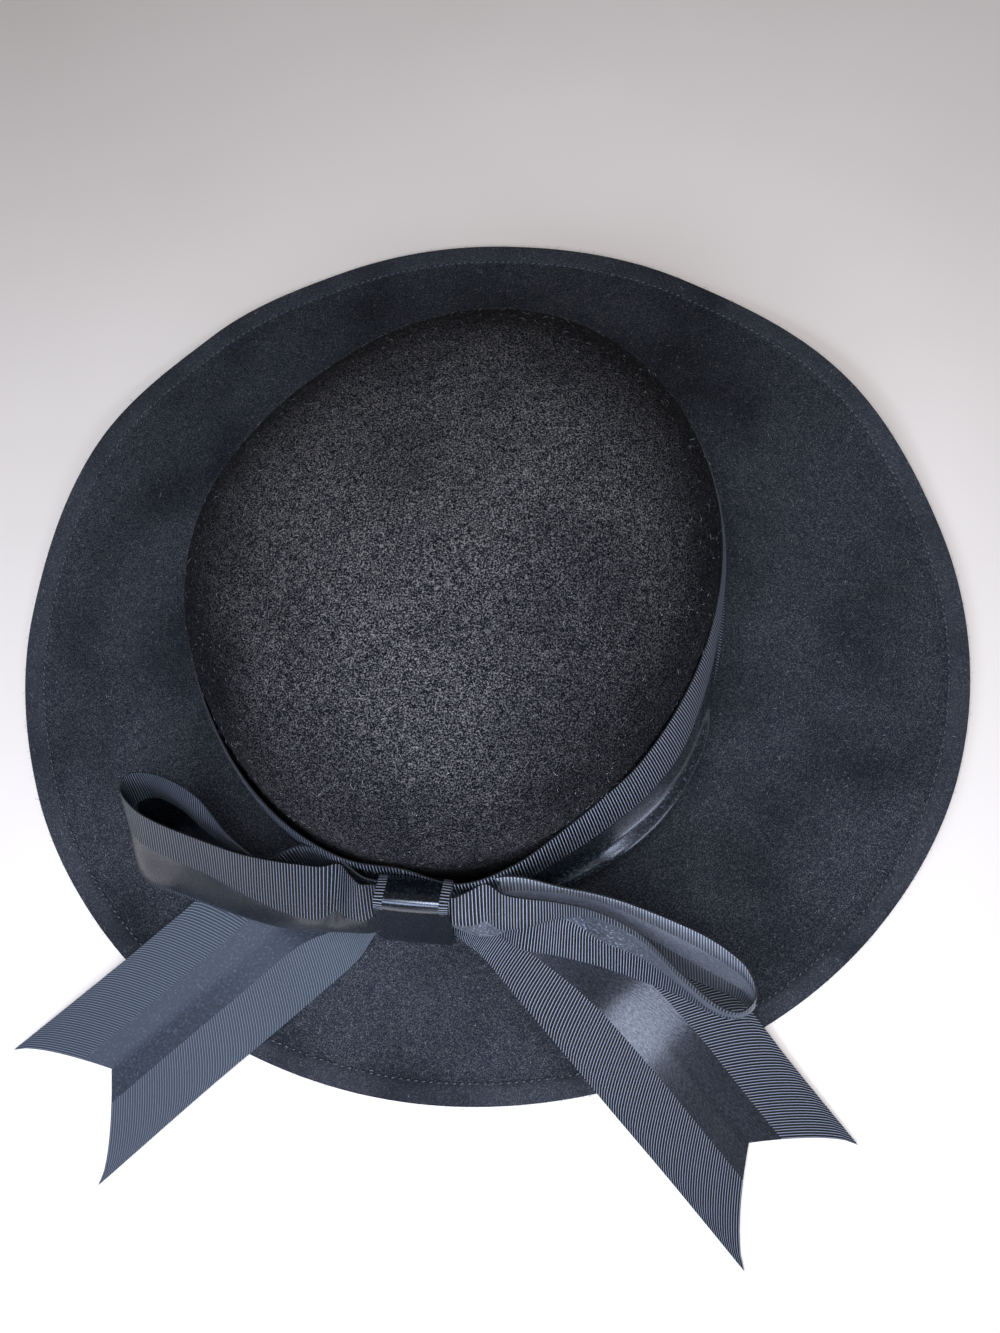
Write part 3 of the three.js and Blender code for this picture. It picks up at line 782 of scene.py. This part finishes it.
@dataclass
class RibbonPiece:
    """One length of ribbon, as a thin sheet with its stripes, from a surface that a subclass gives."""

    MAP = "ribbon_mm"

    name: str
    node: str
    hold: Hold
    rests_on: tuple[str, ...]
    flat_length: float
    felt: FeltBody
    across: tuple[float, ...] = tuple(np.linspace(0, RIBBON_WIDTH, 25))
    step_mm: float = 1.4
    turned: bool = False
    piece: bpy.types.Object | None = field(default=None, init=False)

    def surface(self) -> np.ndarray:
        """Points of the ribbon's middle, along and across it, about the crown's axis."""
        raise NotImplementedError

    def build(self) -> bpy.types.Object:
        """Models the ribbon: a grid laid on its surface, mapped in millimetres and given its thickness.

        Returns:
            The ribbon's object.
        """
        points = self.surface()
        along, across = points.shape[:2]
        bpy.ops.object.select_all(action="DESELECT")
        bpy.ops.mesh.primitive_grid_add(x_subdivisions=across - 1, y_subdivisions=along - 1, size=2, calc_uvs=True)
        piece = bpy.context.object
        piece.name = self.name
        mesh = piece.data
        start = mesh_points(mesh)
        i = np.rint((start[:, 0] + 1) / 2 * (across - 1)).astype(int)
        j = np.rint((start[:, 1] + 1) / 2 * (along - 1)).astype(int)
        mesh.vertices.foreach_set("co", to_row(points[j, i]).ravel())
        travel = lengths_along(points[:, across // 2])
        corners = np.zeros(len(mesh.loops), int)
        mesh.loops.foreach_get("vertex_index", corners)
        flat = np.stack([np.array(self.across)[i], travel[j]], axis=1)[corners]
        uv_map = mesh.uv_layers[0]
        uv_map.name = self.MAP
        uv_map.uv.foreach_set("vector", flat.ravel())
        for face in mesh.polygons:
            middle = np.mean([self.across[i[v]] for v in face.vertices])
            satin = STRIPE < middle < 2 * STRIPE
            face.material_index = Stripe.SATIN.value if satin else Stripe.GROSGRAIN.value
        mesh.update()
        if self.turned:
            bpy.ops.object.mode_set(mode="EDIT")
            bpy.ops.mesh.select_all(action="SELECT")
            bpy.ops.mesh.flip_normals()
            bpy.ops.object.mode_set(mode="OBJECT")
        LOG.info("%s: %.1f mm along its middle", self.name, travel[-1])
        self.piece = piece
        return piece

    def dress(self, weaves: dict[Stripe, bpy.types.Material]) -> None:
        """Args:
            weaves: The material of each stripe and of the edges.
        """
        piece = self.piece
        for stripe in Stripe:
            piece.data.materials.append(weaves[stripe])
        apply_modifier(piece, "SOLIDIFY", thickness=RIBBON_THICK * MM, offset=0,
                       material_offset=Stripe.GROSGRAIN_REVERSE.value,
                       material_offset_rim=Stripe.GROSGRAIN_EDGE.value)
        activate(piece)
        bpy.ops.object.shade_smooth_by_angle(angle=math.radians(50))
        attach(piece, "root")
        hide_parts(self.node)


@dataclass
class HatBand(RibbonPiece):
    """Ribbon round the foot of the crown, loose along its lower edge beside the bow."""

    top: float = 56.0
    lowest: float = 2.5
    steepest: float = 0.35
    start_azimuth: float = 200.0
    step_azimuth: float = 10.0
    # Stand-off from the felt every 10 degrees: top edge, upper and lower border of the satin, low edge
    standoff: tuple[tuple[float, float, float, float], ...] = (
        (0.0, 0.3, 0.6, 0.6), (0.4, 0.7, 1.0, 1.0), (0.9, 1.2, 1.5, 1.5), (1.5, 1.8, 2.2, 2.2),
        (2.0, 2.4, 2.8, 2.8), (2.4, 2.8, 3.2, 3.2), (2.4, 2.8, 3.0, 3.0), (1.2, 1.5, 1.8, 1.8), (5.2, 5.2, 5.6, 6.0),
        (3.6, 4.4, 6.4, 6.6), (0.8, 3.1, 8.0, 5.8), (0.1, 3.6, 9.4, 5.4), (0.8, 5.0, 10.0, 5.0),
        (0.7, 5.2, 8.8, 4.0), (0.5, 3.4, 6.0, 3.0), (0.2, 1.6, 3.0, 1.6), (0.0, 0.4, 0.7, 0.7),
        (0.0, 0.3, 0.6, 0.6))
    lip: float = 0.3
    # Rolled lip along the low border of the satin: its height, spread and place across, and where it runs
    roll: float = 2.4
    roll_spread: float = 2.7
    roll_place: float = 36.5
    roll_from: tuple[float, float] = (278.0, 292.0)
    roll_to: tuple[float, float] = (336.0, 350.0)

    def stations(self, turns: np.ndarray) -> np.ndarray:
        """Stand-off of the band at seven even stations across it.

        Args:
            turns: Azimuths in radians.

        Returns:
            Stand-offs in millimetres, by azimuth and station.
        """
        rows = np.array(self.standoff)
        degrees = (np.degrees(turns) - self.start_azimuth) % 360
        top, upper, lower, low = spline(rows, degrees / (self.step_azimuth * (len(rows) - 1))).T
        middle = upper + self.lip * (lower - upper)
        return np.stack([top, (top + upper) / 2, upper, middle, lower, (lower + low) / 2, low], axis=1)

    def surface(self) -> np.ndarray:
        """Points of the band, from the bow right round to it again, and from its top edge down."""
        felt = self.felt
        turns = np.linspace(BOW_AZIMUTH, BOW_AZIMUTH + math.tau, 440)
        width = np.array(self.across)
        away = spline(self.stations(turns).T, width / RIBBON_WIDTH).T + SEAT + RIBBON_THICK / 2
        degrees = np.degrees(turns)[:, None]
        rolled = blend(degrees, *self.roll_from) * (1 - blend(degrees, *self.roll_to))
        away += self.roll * rolled * np.exp(-((width - self.roll_place) / self.roll_spread) ** 2)
        rise = np.full_like(turns, self.top)
        radius = felt.wall(turns, rise) - felt.press(rise) + away[:, 0]
        rings = [(radius, rise)]
        for column, step in enumerate(np.diff(width), start=1):
            drop = np.full_like(turns, step)
            for _ in range(4):
                below = np.maximum(rise - drop, self.lowest)
                out = felt.wall(turns, below) - felt.press(below) + away[:, column]
                drop = np.sqrt(np.clip(step ** 2 - (out - radius) ** 2, (self.steepest * step) ** 2, None))
            radius, rise = out, below
            rings.append((radius, rise))
        radius, rise = (np.stack(rows, axis=1) for rows in zip(*rings))
        azimuth = turns[:, None]
        y = radius * np.sin(azimuth) + felt.crown_lean * rise / felt.crown_height
        return np.stack([radius * np.cos(azimuth), y, felt.join_z + rise], axis=-1)


@dataclass
class BowLoop(RibbonPiece):
    """One loop of the bow: out of the knot along the front, round its end and back into the knot."""

    # Sections along the ribbon: its top edge, the two borders of its satin stripe, and its low edge
    sections: tuple[tuple[tuple[float, float, float], ...], ...] = ()
    # Dents across the front layer: share of the length, depth and spread in millimetres
    buckles: tuple[tuple[float, float, float], ...] = ()
    # Fold that hides the satin stripe of the front layer: where it starts and ends, and its depth
    tuck: tuple[float, float, float] = (0.0, 1.0, 0.0)

    def surface(self) -> np.ndarray:
        """Points of the loop, evenly spaced along its middle."""
        table = np.array(self.sections, float)
        dense = spline(table, np.linspace(0, 1, 900))
        travel = lengths_along(dense[:, 1:3].mean(axis=1))
        steps = round(travel[-1] / self.step_mm)
        at = np.interp(np.linspace(0, travel[-1], steps + 1), travel, np.linspace(0, 1, 900))
        borders = spline(table, at)
        share = np.array(self.across) / RIBBON_WIDTH
        points = spline(borders.transpose(1, 0, 2), share).transpose(1, 0, 2)
        run = np.gradient(points, axis=0)
        fall = np.gradient(points, axis=1)
        out = np.cross(run, fall) if self.turned else np.cross(fall, run)
        out /= np.linalg.norm(out, axis=2, keepdims=True)
        place = np.linspace(0, travel[-1], steps + 1)[:, None]
        upper = (1 - blend(share, 0.3, 0.55))[None, :]
        for middle, depth, spread in self.buckles:
            dip = np.exp(-((place - middle * travel[-1]) / spread) ** 2) * upper
            points = points - out * (depth * dip)[..., None]
        start, end, depth = self.tuck
        fold = blend(place, start, start + 10) * (1 - blend(place, end - 14, end))
        hidden = (blend(share, 0.3, 0.38) * (1 - blend(share, 0.58, 0.72)))[None, :]
        return points - out * (depth * fold * hidden)[..., None]


@dataclass
class BowTail(RibbonPiece):
    """Free end of ribbon that lies on the brim, falls past its edge and ends in a hollow notch."""

    # Sections along the ribbon: a point on its low edge and one on its top edge
    sections: tuple[tuple[tuple[float, float, float], ...], ...] = ()
    floor_gap: float = 0.4
    wave: float = 0.2
    wave_length: float = 44.0
    notch: float = 25.0
    notch_power: float = 0.75

    def surface(self) -> np.ndarray:
        """Points of the tail, draped over the brim and the floor."""
        table = np.array(self.sections, float)
        places = np.linspace(0, 1, 900)
        travel = lengths_along(spline(table, places).mean(axis=1))
        along = np.linspace(0, 1, round(travel[-1] / self.step_mm) + 1)
        side = 1 - 2 * np.array(self.across) / RIBBON_WIDTH
        reaches = travel[-1] - self.notch * (1 - np.abs(side)) ** self.notch_power
        columns = []
        for width, reach in zip(side, reaches):
            edges = spline(table, np.interp(along * reach, travel, places))
            columns.append(edges[:, 0] + (edges[:, 1] - edges[:, 0]) * (width + 1) / 2)
        points = np.stack(columns, axis=1)
        azimuth = np.arctan2(points[..., 1], points[..., 0])
        felt = self.felt.brim_top(azimuth, np.hypot(points[..., 0], points[..., 1]))
        place = along[:, None] * reaches[None, :]
        ripple = self.wave * np.sin(math.pi * place / self.wave_length) ** 2
        seat = np.maximum(felt + SEAT, self.floor_gap) + RIBBON_THICK / 2 + ripple
        points[..., 2] = np.maximum(points[..., 2], seat)
        return points


@dataclass
class BowKnot(RibbonPiece):
    """Ribbon strip, folded to its satin stripe, wrapped round the gathered middle of the bow."""

    # Path of the wrap across the bow, from its back low edge over the top and down the front
    path: tuple[tuple[float, float], ...] = (
        (-99.2, 28), (-97.6, 45), (-95.8, 60), (-94.2, 69), (-94, 74), (-96, 76.6), (-99, 78.6),
        (-101.4, 79), (-103, 76.5), (-104.2, 70), (-106.4, 58), (-109, 44), (-111.6, 31), (-111.8, 26.4),
        (-108.5, 24.7), (-103, 24.8), (-99.4, 26))
    top_middle: float = 4.3
    top_half: float = 10.6
    low_half: float = 12.6
    top_z: float = 77.0
    low_z: float = 25.0
    turn: float = 0.06
    crown: float = 0.5
    curl: float = 1.1
    curl_from_z: float = 76.5
    curl_full_z: float = 72.5
    satin_share: float = 0.748

    def surface(self) -> np.ndarray:
        """Points of the wrap, closed on itself behind the bow."""
        table = np.array(self.path, float)
        dense = spline(table, np.linspace(0, 1, 600))
        travel = lengths_along(dense)
        steps = round(travel[-1] / 0.8)
        at = np.interp(np.linspace(0, travel[-1], steps + 1), travel, np.linspace(0, 1, 600))
        line = spline(table, at)
        height = np.clip((line[:, 1] - self.low_z) / (self.top_z - self.low_z), 0, 1)[:, None]
        low, high = min(self.across), max(self.across)
        side = (2 * (np.array(self.across) - low) / (high - low) - 1)[None, :]
        run = np.gradient(line, axis=0)
        run /= np.linalg.norm(run, axis=1, keepdims=True)
        front = (1 - blend(line[:, 1:], self.curl_full_z, self.curl_from_z)) * (run[:, 1:] < 0)
        folded = np.abs(side) - self.satin_share
        behind = np.sign(side) * (1 - np.clip(folded, 0, None))
        tucked = np.where(folded > 0, behind, side / self.satin_share)
        half = self.low_half + (self.top_half - self.low_half) * height
        x = self.top_middle * height + half * (side + (tucked - side) * front)
        bulge = self.crown * (1 - side ** 2) - self.curl * front * blend(folded, -0.06, 0.06)
        y = line[:, :1] + run[:, 1:] * bulge + self.turn * x
        z = line[:, 1:] - run[:, :1] * bulge
        return np.stack([x, y, z], axis=-1)


@dataclass
class WoolNap:
    """Fine fibres that stand out of the felt, each a bent needle with its own shade."""

    felt: FeltBody
    count: int = 30000
    shortest: float = 0.7
    longest: float = 2.6
    thick: float = 0.09
    steepest: float = 40.0
    root_depth: float = 0.1
    clear: float = 6.0
    seed: int = 11
    piece: bpy.types.Object | None = field(default=None, init=False)

    def build(self, covers: list[bpy.types.Object]) -> bpy.types.Object:
        """Scatters the fibres over the felt where nothing covers it.

        Args:
            covers: Ribbon pieces under which no fibre stands.

        Returns:
            The fibres' object.
        """
        draw = np.random.default_rng(self.seed)
        mesh = self.felt.piece.data
        mesh.calc_loop_triangles()
        points = mesh_points(mesh)
        triangles = np.array([t.vertices for t in mesh.loop_triangles])
        a, b, c = (points[triangles[:, k]] for k in range(3))
        normal = np.cross(b - a, c - a)
        area = np.linalg.norm(normal, axis=1)
        normal /= np.maximum(area, 1e-15)[:, None]
        area = np.where(normal[:, 2] > -0.25, area, 0)
        radius = np.hypot(*((a[:, :2] / MM - CROWN_AXIS[:2]).T))
        inner = (normal[:, :2] * (a[:, :2] - CROWN_AXIS[:2] * MM)).sum(axis=1) < -0.2 * radius * MM
        area = np.where(inner, 0, area)
        chosen = draw.choice(len(triangles), self.count, p=area / area.sum())
        u, v = draw.random((2, self.count, 1))
        flip = u + v > 1
        u, v = np.where(flip, 1 - u, u), np.where(flip, 1 - v, v)
        root = a[chosen] + u * (b - a)[chosen] + v * (c - a)[chosen]
        up = normal[chosen]
        trees = [BVHTree.FromObject(cover, bpy.context.evaluated_depsgraph_get()) for cover in covers]
        free = np.array([not any(tree.ray_cast(Vector(p), Vector(n), self.clear * MM)[0] for tree in trees)
                         for p, n in zip(root, up)])
        side = np.cross(up, draw.normal(size=(self.count, 3)))
        side /= np.linalg.norm(side, axis=1, keepdims=True)
        other = np.cross(up, side)
        length = draw.uniform(self.shortest, self.longest, (self.count, 1)) * MM
        rise = np.radians(draw.uniform(2, self.steepest, (self.count, 1)))
        bend = draw.uniform(-0.35, 0.35, (self.count, 1))
        tip = root + length * (side * np.cos(rise) + up * np.sin(rise) * 0.6)
        middle = (root + tip) / 2 + length * (other * bend + up * 0.12)
        root = root - up * self.root_depth * MM
        half = self.thick / 2 * MM
        ring = [middle + half * (other * math.cos(t) + up * math.sin(t)) for t in (0.5, 2.6, 4.7)]
        parts = np.stack([root, *ring, tip], axis=1)[free]
        number = len(parts)
        needle = np.array([[0, 2, 1], [0, 3, 2], [0, 1, 3], [4, 1, 2], [4, 2, 3], [4, 3, 1]])
        faces = (needle[None] + 5 * np.arange(number)[:, None, None]).reshape(-1, 3)
        self.piece = piece_from("wool_nap", parts.reshape(-1, 3), faces)
        shade = np.repeat(draw.beta(1.6, 3.2, number), 5)
        self.piece.data.attributes.new("shade", "FLOAT", "POINT").data.foreach_set("value", shade)
        return self.piece

    def dress(self, finish: WoolFibre) -> None:
        """Gives the fibres their finish."""
        self.piece.data.materials.append(finish.material())
        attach(self.piece, "root")


@dataclass
class Bow:
    """The bow on the front of the crown: two loops, two tails and the knot that holds them."""

    felt: FeltBody
    pieces: list[RibbonPiece] = field(default_factory=list, init=False)

    LOOP_LEFT = (
        ((-2, -97, 74), (-2, -101, 59), (-2, -105, 44), (-2, -108.5, 30)),
        ((-11, -97, 74), (-11, -106.6, 61), (-11, -110.8, 44), (-11, -109.6, 28)),
        ((-17.5, -95, 75), (-18, -108.2, 62), (-20, -112.2, 44.5), (-22, -110.4, 27)),
        ((-27, -94.6, 74.5), (-27, -109.4, 62), (-30.5, -113.2, 43), (-34.5, -111, 25)),
        ((-36.5, -94.7, 73.5), (-36.7, -108.5, 60), (-40.5, -113.7, 41.5), (-44.5, -111.8, 23)),
        ((-49, -94, 72), (-51, -105, 56.5), (-54, -112.4, 38.5), (-58, -111.7, 20)),
        ((-62.5, -91.6, 70), (-65, -100.7, 53.5), (-69, -109.7, 36), (-74, -110.2, 17)),
        ((-77, -88.5, 67.5), (-80.5, -97.1, 50.5), (-84, -106.9, 34), (-89.5, -108.9, 15)),
        ((-86.5, -85.3, 65), (-90, -94, 48), (-92.5, -104.9, 32), (-97.3, -106.8, 13)),
        ((-93.5, -80.2, 63), (-96.3, -89, 45.5), (-98, -100, 29.5), (-101.5, -103.8, 11)),
        ((-93.4, -75.5, 63), (-95.8, -82.5, 45.5), (-96.5, -92.5, 29.5), (-99, -99, 11)),
        ((-87.6, -73.5, 64), (-89.6, -79.2, 46), (-89, -88.3, 30), (-90.4, -96.7, 12)),
        ((-77.4, -74.9, 66), (-78.4, -82.0, 51), (-77.8, -90.0, 33), (-79.3, -96.7, 14)),
        ((-66, -79.8, 68), (-67.5, -87.5, 56), (-67.2, -94.6, 36), (-67.7, -100.1, 16)),
        ((-54, -89.4, 70), (-55.2, -94.4, 54), (-55.1, -98.6, 36), (-55.2, -103.9, 19)),
        ((-43, -94.6, 69), (-44, -96.5, 52), (-44, -100.3, 37), (-44.5, -105.3, 22)),
        ((-31.5, -89.2, 72.5), (-32.5, -93.2, 55), (-33, -97.8, 41), (-33.2, -103.8, 26)),
        ((-20, -91.0, 74.5), (-20.5, -95.5, 58), (-21, -99.6, 43), (-21.5, -103.6, 28)),
        ((-11, -95.6, 74), (-11, -98, 59), (-11, -100.5, 44), (-11, -103, 29.5)),
        ((-2, -95.7, 74), (-2, -98, 59), (-2, -100.5, 44), (-2, -103, 29.5)),
    )
    LOOP_RIGHT = (
        ((2, -97.2, 74), (2, -101, 59), (2, -105, 44), (2, -108.5, 30)),
        ((12, -97.4, 73.5), (12, -103.4, 58.5), (12, -105.6, 45), (12, -105, 30)),
        ((23, -95, 75), (23.5, -105.2, 59), (23.5, -107.2, 45), (23, -104.5, 28)),
        ((34, -95, 74), (34.5, -104, 57), (33.8, -103, 42), (33.2, -109.6, 28)),
        ((45.5, -94.7, 73), (45.9, -99, 55), (45.6, -99.6, 43), (46, -110, 29)),
        ((57, -95.8, 72), (57.7, -97.4, 53.5), (59, -103.6, 41), (60.4, -111.4, 26)),
        ((69, -100, 71), (70.5, -101.4, 52), (72, -106.7, 38), (73.3, -113.9, 22)),
        ((81, -108.6, 69), (83, -110.4, 50), (85.5, -113.3, 33), (87, -117, 16)),
        ((91.5, -115.4, 67), (94, -117.3, 48), (96.6, -119.5, 29), (99, -121.3, 11)),
        ((98.8, -116.9, 66), (101.5, -118.6, 47), (104.5, -120.3, 28), (107, -122, 10)),
        ((103, -112.2, 65), (106.4, -114.8, 46), (109.4, -117.2, 27), (111.3, -119.2, 9.5)),
        ((101, -106.2, 65), (104.4, -109.8, 46), (107.4, -113.6, 28), (109.2, -116.9, 9.5)),
        ((96.2, -102.1, 66), (99.5, -106.1, 47), (102.7, -110.9, 29), (105.4, -115, 10)),
        ((85.8, -97.3, 67), (88.4, -101.3, 49), (91, -106.7, 31), (94, -112.1, 12)),
        ((68.1, -92.8, 71), (69.6, -95.3, 53), (71.6, -99.5, 35), (73.8, -106.8, 17)),
        ((56.6, -91, 73), (57.3, -92.2, 54), (58.5, -95.2, 37), (60, -103.6, 20)),
        ((45.3, -90.4, 74), (45.2, -91.4, 56), (45.3, -93.8, 40), (45.7, -101.5, 26)),
        ((30, -89.6, 74.5), (30, -92.8, 58), (30, -96.6, 42), (30, -103, 28.5)),
        ((12, -95.5, 73.5), (12, -98.2, 58.5), (12, -100.6, 44), (12, -103, 30)),
        ((2, -95.8, 74), (2, -98.2, 59), (2, -100.6, 44), (2, -103, 30)),
    )
    TAIL_LEFT = (
        ((-3, -104, 29), (-3, -99.3, 41)),
        ((-12.6, -110.3, 26.5), (-15, -98.8, 40)),
        ((-20, -121, 15.5), (-42, -94.5, 26)),
        ((-31, -133, 9.5), (-66, -95.5, 15.3)),
        ((-47, -150.5, 7.4), (-87, -116, 10)),
        ((-67, -172, 4.4), (-107.5, -137, 5)),
        ((-98.3, -207.3, 0.5), (-139.3, -169.9, 0.5)),
    )
    TAIL_RIGHT = (
        ((3, -104, 29), (3, -99.3, 41)),
        ((12.6, -108.8, 26.5), (15, -98.8, 40)),
        ((22, -114.5, 20.5), (42, -93, 20.8)),
        ((34, -125, 17), (66, -94.5, 16.6)),
        ((50, -139, 13), (86, -99, 12.8)),
        ((70, -157, 6.4), (106, -113, 6.6)),
        ((92, -176, 2.8), (127, -133.5, 3)),
        ((117.4, -198.4, 1), (150.5, -155.6, 1)),
    )
    LOOP_LENGTHS = (214.0, 246.0)
    TAIL_LENGTHS = (155.0, 152.0)
    KNOT_FOLD = tuple(np.linspace(STRIPE - 3.2, 2 * STRIPE + 3.2, 25))
    KNOT_LENGTH = 135.0

    def build(self) -> list[RibbonPiece]:
        """Models the loops, the tails and the knot.

        Returns:
            The ribbon pieces.
        """
        felt = self.felt
        left, right = self.LOOP_LENGTHS
        self.pieces = [
            BowLoop("ribbon_loop_left", "bow_loop_left", Hold.GATHERED, ("ribbon_knot",), left, felt,
                    sections=self.LOOP_LEFT, buckles=((0.1, 3.2, 3.2), (0.055, -1.0, 2.6)), turned=True),
            BowLoop("ribbon_loop_right", "bow_loop_right", Hold.GATHERED, ("ribbon_knot",), right, felt,
                    sections=self.LOOP_RIGHT, buckles=((0.1, 3.0, 3.4), (0.06, -0.9, 2.6)), tuck=(26.0, 62.0, 4.0)),
            BowTail("ribbon_tail_left", "bow_tail_left", Hold.DRAPED, ("wool_felt_body",), self.TAIL_LENGTHS[0], felt,
                    sections=self.TAIL_LEFT, turned=True),
            BowTail("ribbon_tail_right", "bow_tail_right", Hold.DRAPED, ("wool_felt_body",), self.TAIL_LENGTHS[1], felt,
                    sections=self.TAIL_RIGHT, wave=0.4),
            BowKnot("ribbon_knot", "bow_knot", Hold.FOLDED, ("ribbon_band",), self.KNOT_LENGTH, felt,
                    across=self.KNOT_FOLD, turned=True),
        ]
        for piece in self.pieces:
            piece.build()
        return self.pieces


@dataclass
class Studio:
    """Pale floor, soft lights and the camera, at the photograph's angle."""

    picture_wide: int = 1000
    picture_high: int = 1333
    focal_px: float = 1000.0
    sensor_mm: float = 36.0
    camera_mm: tuple[float, float, float] = (49.36, -101.97, 363.73)
    pan: float = -22.524
    fall: float = 74.69
    roll: float = 14.86
    floor_m: float = 6.0

    def build(self) -> None:
        """Makes the floor, the lights, the world and the camera."""
        self.build_floor()
        self.build_lights()
        self.build_camera()

    def build_floor(self) -> None:
        """Makes the floor."""
        bpy.ops.object.select_all(action="DESELECT")
        bpy.ops.mesh.primitive_plane_add(size=self.floor_m, location=(0, 0, 0))
        floor = bpy.context.object
        floor.name = "floor"
        floor.data.materials.append(PaleFloor().material())

    def build_lights(self) -> None:
        """Makes a soft key above the hat, lights in front and at its right, and a pale surround."""
        world = bpy.data.worlds.new("studio")
        bpy.context.scene.world = world
        world.use_nodes = True
        world.node_tree.nodes["Background"].inputs["Color"].default_value = linear("#f7efea")
        world.node_tree.nodes["Background"].inputs["Strength"].default_value = 0.2
        self.add_light("key", (0.03, -0.1, 0.42), (0.0, 0.0, 0.0), (0.12, 0.12), 1.2, "#f6f7ff")
        self.add_light("strip", (-0.08, -0.34, 0.42), (0.0, -0.12, 0.0), (0.42, 0.16), 1.9, "#dfe9ff")
        self.add_light("gleam", (0.42, -0.46, 0.64), (0.08, -0.12, 0.0), (0.16, 0.16), 1.1, "#f1f5ff")
        self.add_light("side", (1.82, -2.33, 0.36), (0.06, -0.05, 0.05), (3.4, 0.66), 68.0, "#e9f0ff")

    def add_light(self, name: str, place: tuple[float, float, float], aim: tuple[float, float, float],
                  size: tuple[float, float], power: float, tint: str) -> None:
        """Adds a soft light.

        Args:
            name: The light's name.
            place: Where it hangs, in metres.
            aim: The point that it faces.
            size: Its width and depth, in metres.
            power: Its power, in watts.
            tint: Its sRGB hex colour.
        """
        data = bpy.data.lights.new(name, "AREA")
        data.color = linear(tint)[:3]
        data.shape = "RECTANGLE"
        data.size, data.size_y = size
        data.energy = power
        light = bpy.data.objects.new(name, data)
        light.location = place
        light.visible_camera = False
        light.rotation_euler = (Vector(aim) - Vector(place)).to_track_quat("-Z", "Y").to_euler()
        bpy.context.scene.collection.objects.link(light)

    def build_camera(self) -> None:
        """Makes the camera from the view that the photograph was fitted with."""
        pan, fall, roll = (math.radians(v) for v in (self.pan, self.fall, self.roll))
        ahead = Vector((math.sin(pan) * math.cos(fall), math.cos(pan) * math.cos(fall), -math.sin(fall)))
        level = Vector((math.cos(pan), -math.sin(pan), 0))
        drop = ahead.cross(level)
        right = math.cos(roll) * level + math.sin(roll) * drop
        down = -math.sin(roll) * level + math.cos(roll) * drop
        data = bpy.data.cameras.new("camera")
        data.sensor_width = self.sensor_mm
        data.lens = self.sensor_mm * self.focal_px / max(self.picture_wide, self.picture_high)
        data.clip_start = 0.01
        camera = bpy.data.objects.new("camera", data)
        turn = Matrix((right, -down, -ahead)).transposed()
        camera.matrix_world = Matrix.Translation(to_row(np.array(self.camera_mm))) @ turn.to_4x4()
        bpy.context.scene.collection.objects.link(camera)
        bpy.context.scene.camera = camera


def weave_set(front: tuple[bpy.types.Material, bpy.types.Material],
              back: tuple[bpy.types.Material, bpy.types.Material],
              edge: bpy.types.Material) -> dict[Stripe, bpy.types.Material]:
    """Materials of a ribbon piece by slot: the stripes of its front, its edges, the stripes of its back."""
    return dict(zip(Stripe, (*front, edge, edge, *back)))


def report(piece: bpy.types.Object) -> None:
    """Logs a finished piece with its size in faces."""
    LOG.info("%s: %d faces", piece.name, len(piece.data.polygons))


def main() -> None:
    """Builds the hat's pieces in order, dresses them and sets the stage."""
    logging.basicConfig(level=logging.INFO, format="%(message)s")
    bpy.context.scene.view_settings.view_transform = "Standard"
    felt = FeltBody()
    felt.build()
    felt.dress(WoolFelt())
    report(felt.piece)
    stitching = HemStitching(felt)
    stitching.build()
    stitching.dress(HemThread())
    report(stitching.piece)
    band = HatBand("ribbon_band", "hat_band", Hold.STRETCHED, ("wool_felt_body",), 600.0, felt,
                   across=tuple(np.linspace(0, RIBBON_WIDTH, 49)))
    band.build()
    ribbons = [band, *Bow(felt).build()]
    edge = Selvedge().material()
    closed = Grosgrain().material(), Satin().material()
    # Paler copy of the weave for the left tail: painted sheen where light washes over it
    painted_sheen_tail = (Grosgrain("grosgrain_painted_sheen_tail", gap="#3d444e", crest="#727d8c").material(),
             Satin("satin_painted_sheen_tail", float_tone="#2f3742", lint="#3f4854", smooth=0.54, coarse=0.66).material())
    # Paler copy of the weave for the front of the right loop: painted light where it catches the lamps
    brushed = (Grosgrain("grosgrain_painted_lit_loop", crest="#929db0").material(),
               Satin("satin_painted_lit_loop", float_tone="#2c3440", lint="#76818f", smooth=0.35, coarse=0.45, fuzz=0.09).material())
    # Pale copy of the weave for the inside of the right loop: painted sheen on the inner face seen edge on
    painted_sheen_inside = (Grosgrain("grosgrain_painted_sheen_inside", gap="#08090d", crest="#d0d8e6", dark_to=0.5, painted_highlight_from=0.8,
                         fuzz=0.25).material(),
               Satin("satin_painted_sheen_inside", shade="#2f3742", float_tone="#b5c0d2", lint="#d3dbe8", smooth=0.5, coarse=0.6,
                     fuzz=0.4).material())
    # Darker copy of the weave for the front of the left loop, with a dimmer gleam: painted shade
    painted_shaded_loop = (Grosgrain("grosgrain_painted_shaded_loop", crest="#6d7786").material(),
               Satin("satin_painted_shaded_loop", gleam="#929cad", smooth=0.24, coarse=0.34).material())
    # The band's satin is a paler copy: painted sheen standing in for the gleam along its rolled lip
    rolled = closed[0], Satin("satin_painted_gleam_band", float_tone="#171c23", lint="#3d4652", smooth=0.21, coarse=0.29).material()
    weaves = {
        "ribbon_band": weave_set(rolled, closed, edge),
        "ribbon_loop_left": weave_set(painted_shaded_loop, closed, edge),
        "ribbon_loop_right": weave_set(brushed, painted_sheen_inside, edge),
        "ribbon_tail_left": weave_set(painted_sheen_tail, painted_sheen_tail, edge)}
    for ribbon in ribbons:
        ribbon.dress(weaves.get(ribbon.name, weave_set(closed, closed, edge)))
        report(ribbon.piece)
    nap = WoolNap(felt)
    nap.build([ribbon.piece for ribbon in ribbons])
    nap.dress(WoolFibre())
    report(nap.piece)
    Studio().build()


if __name__ == "__main__":
    main()
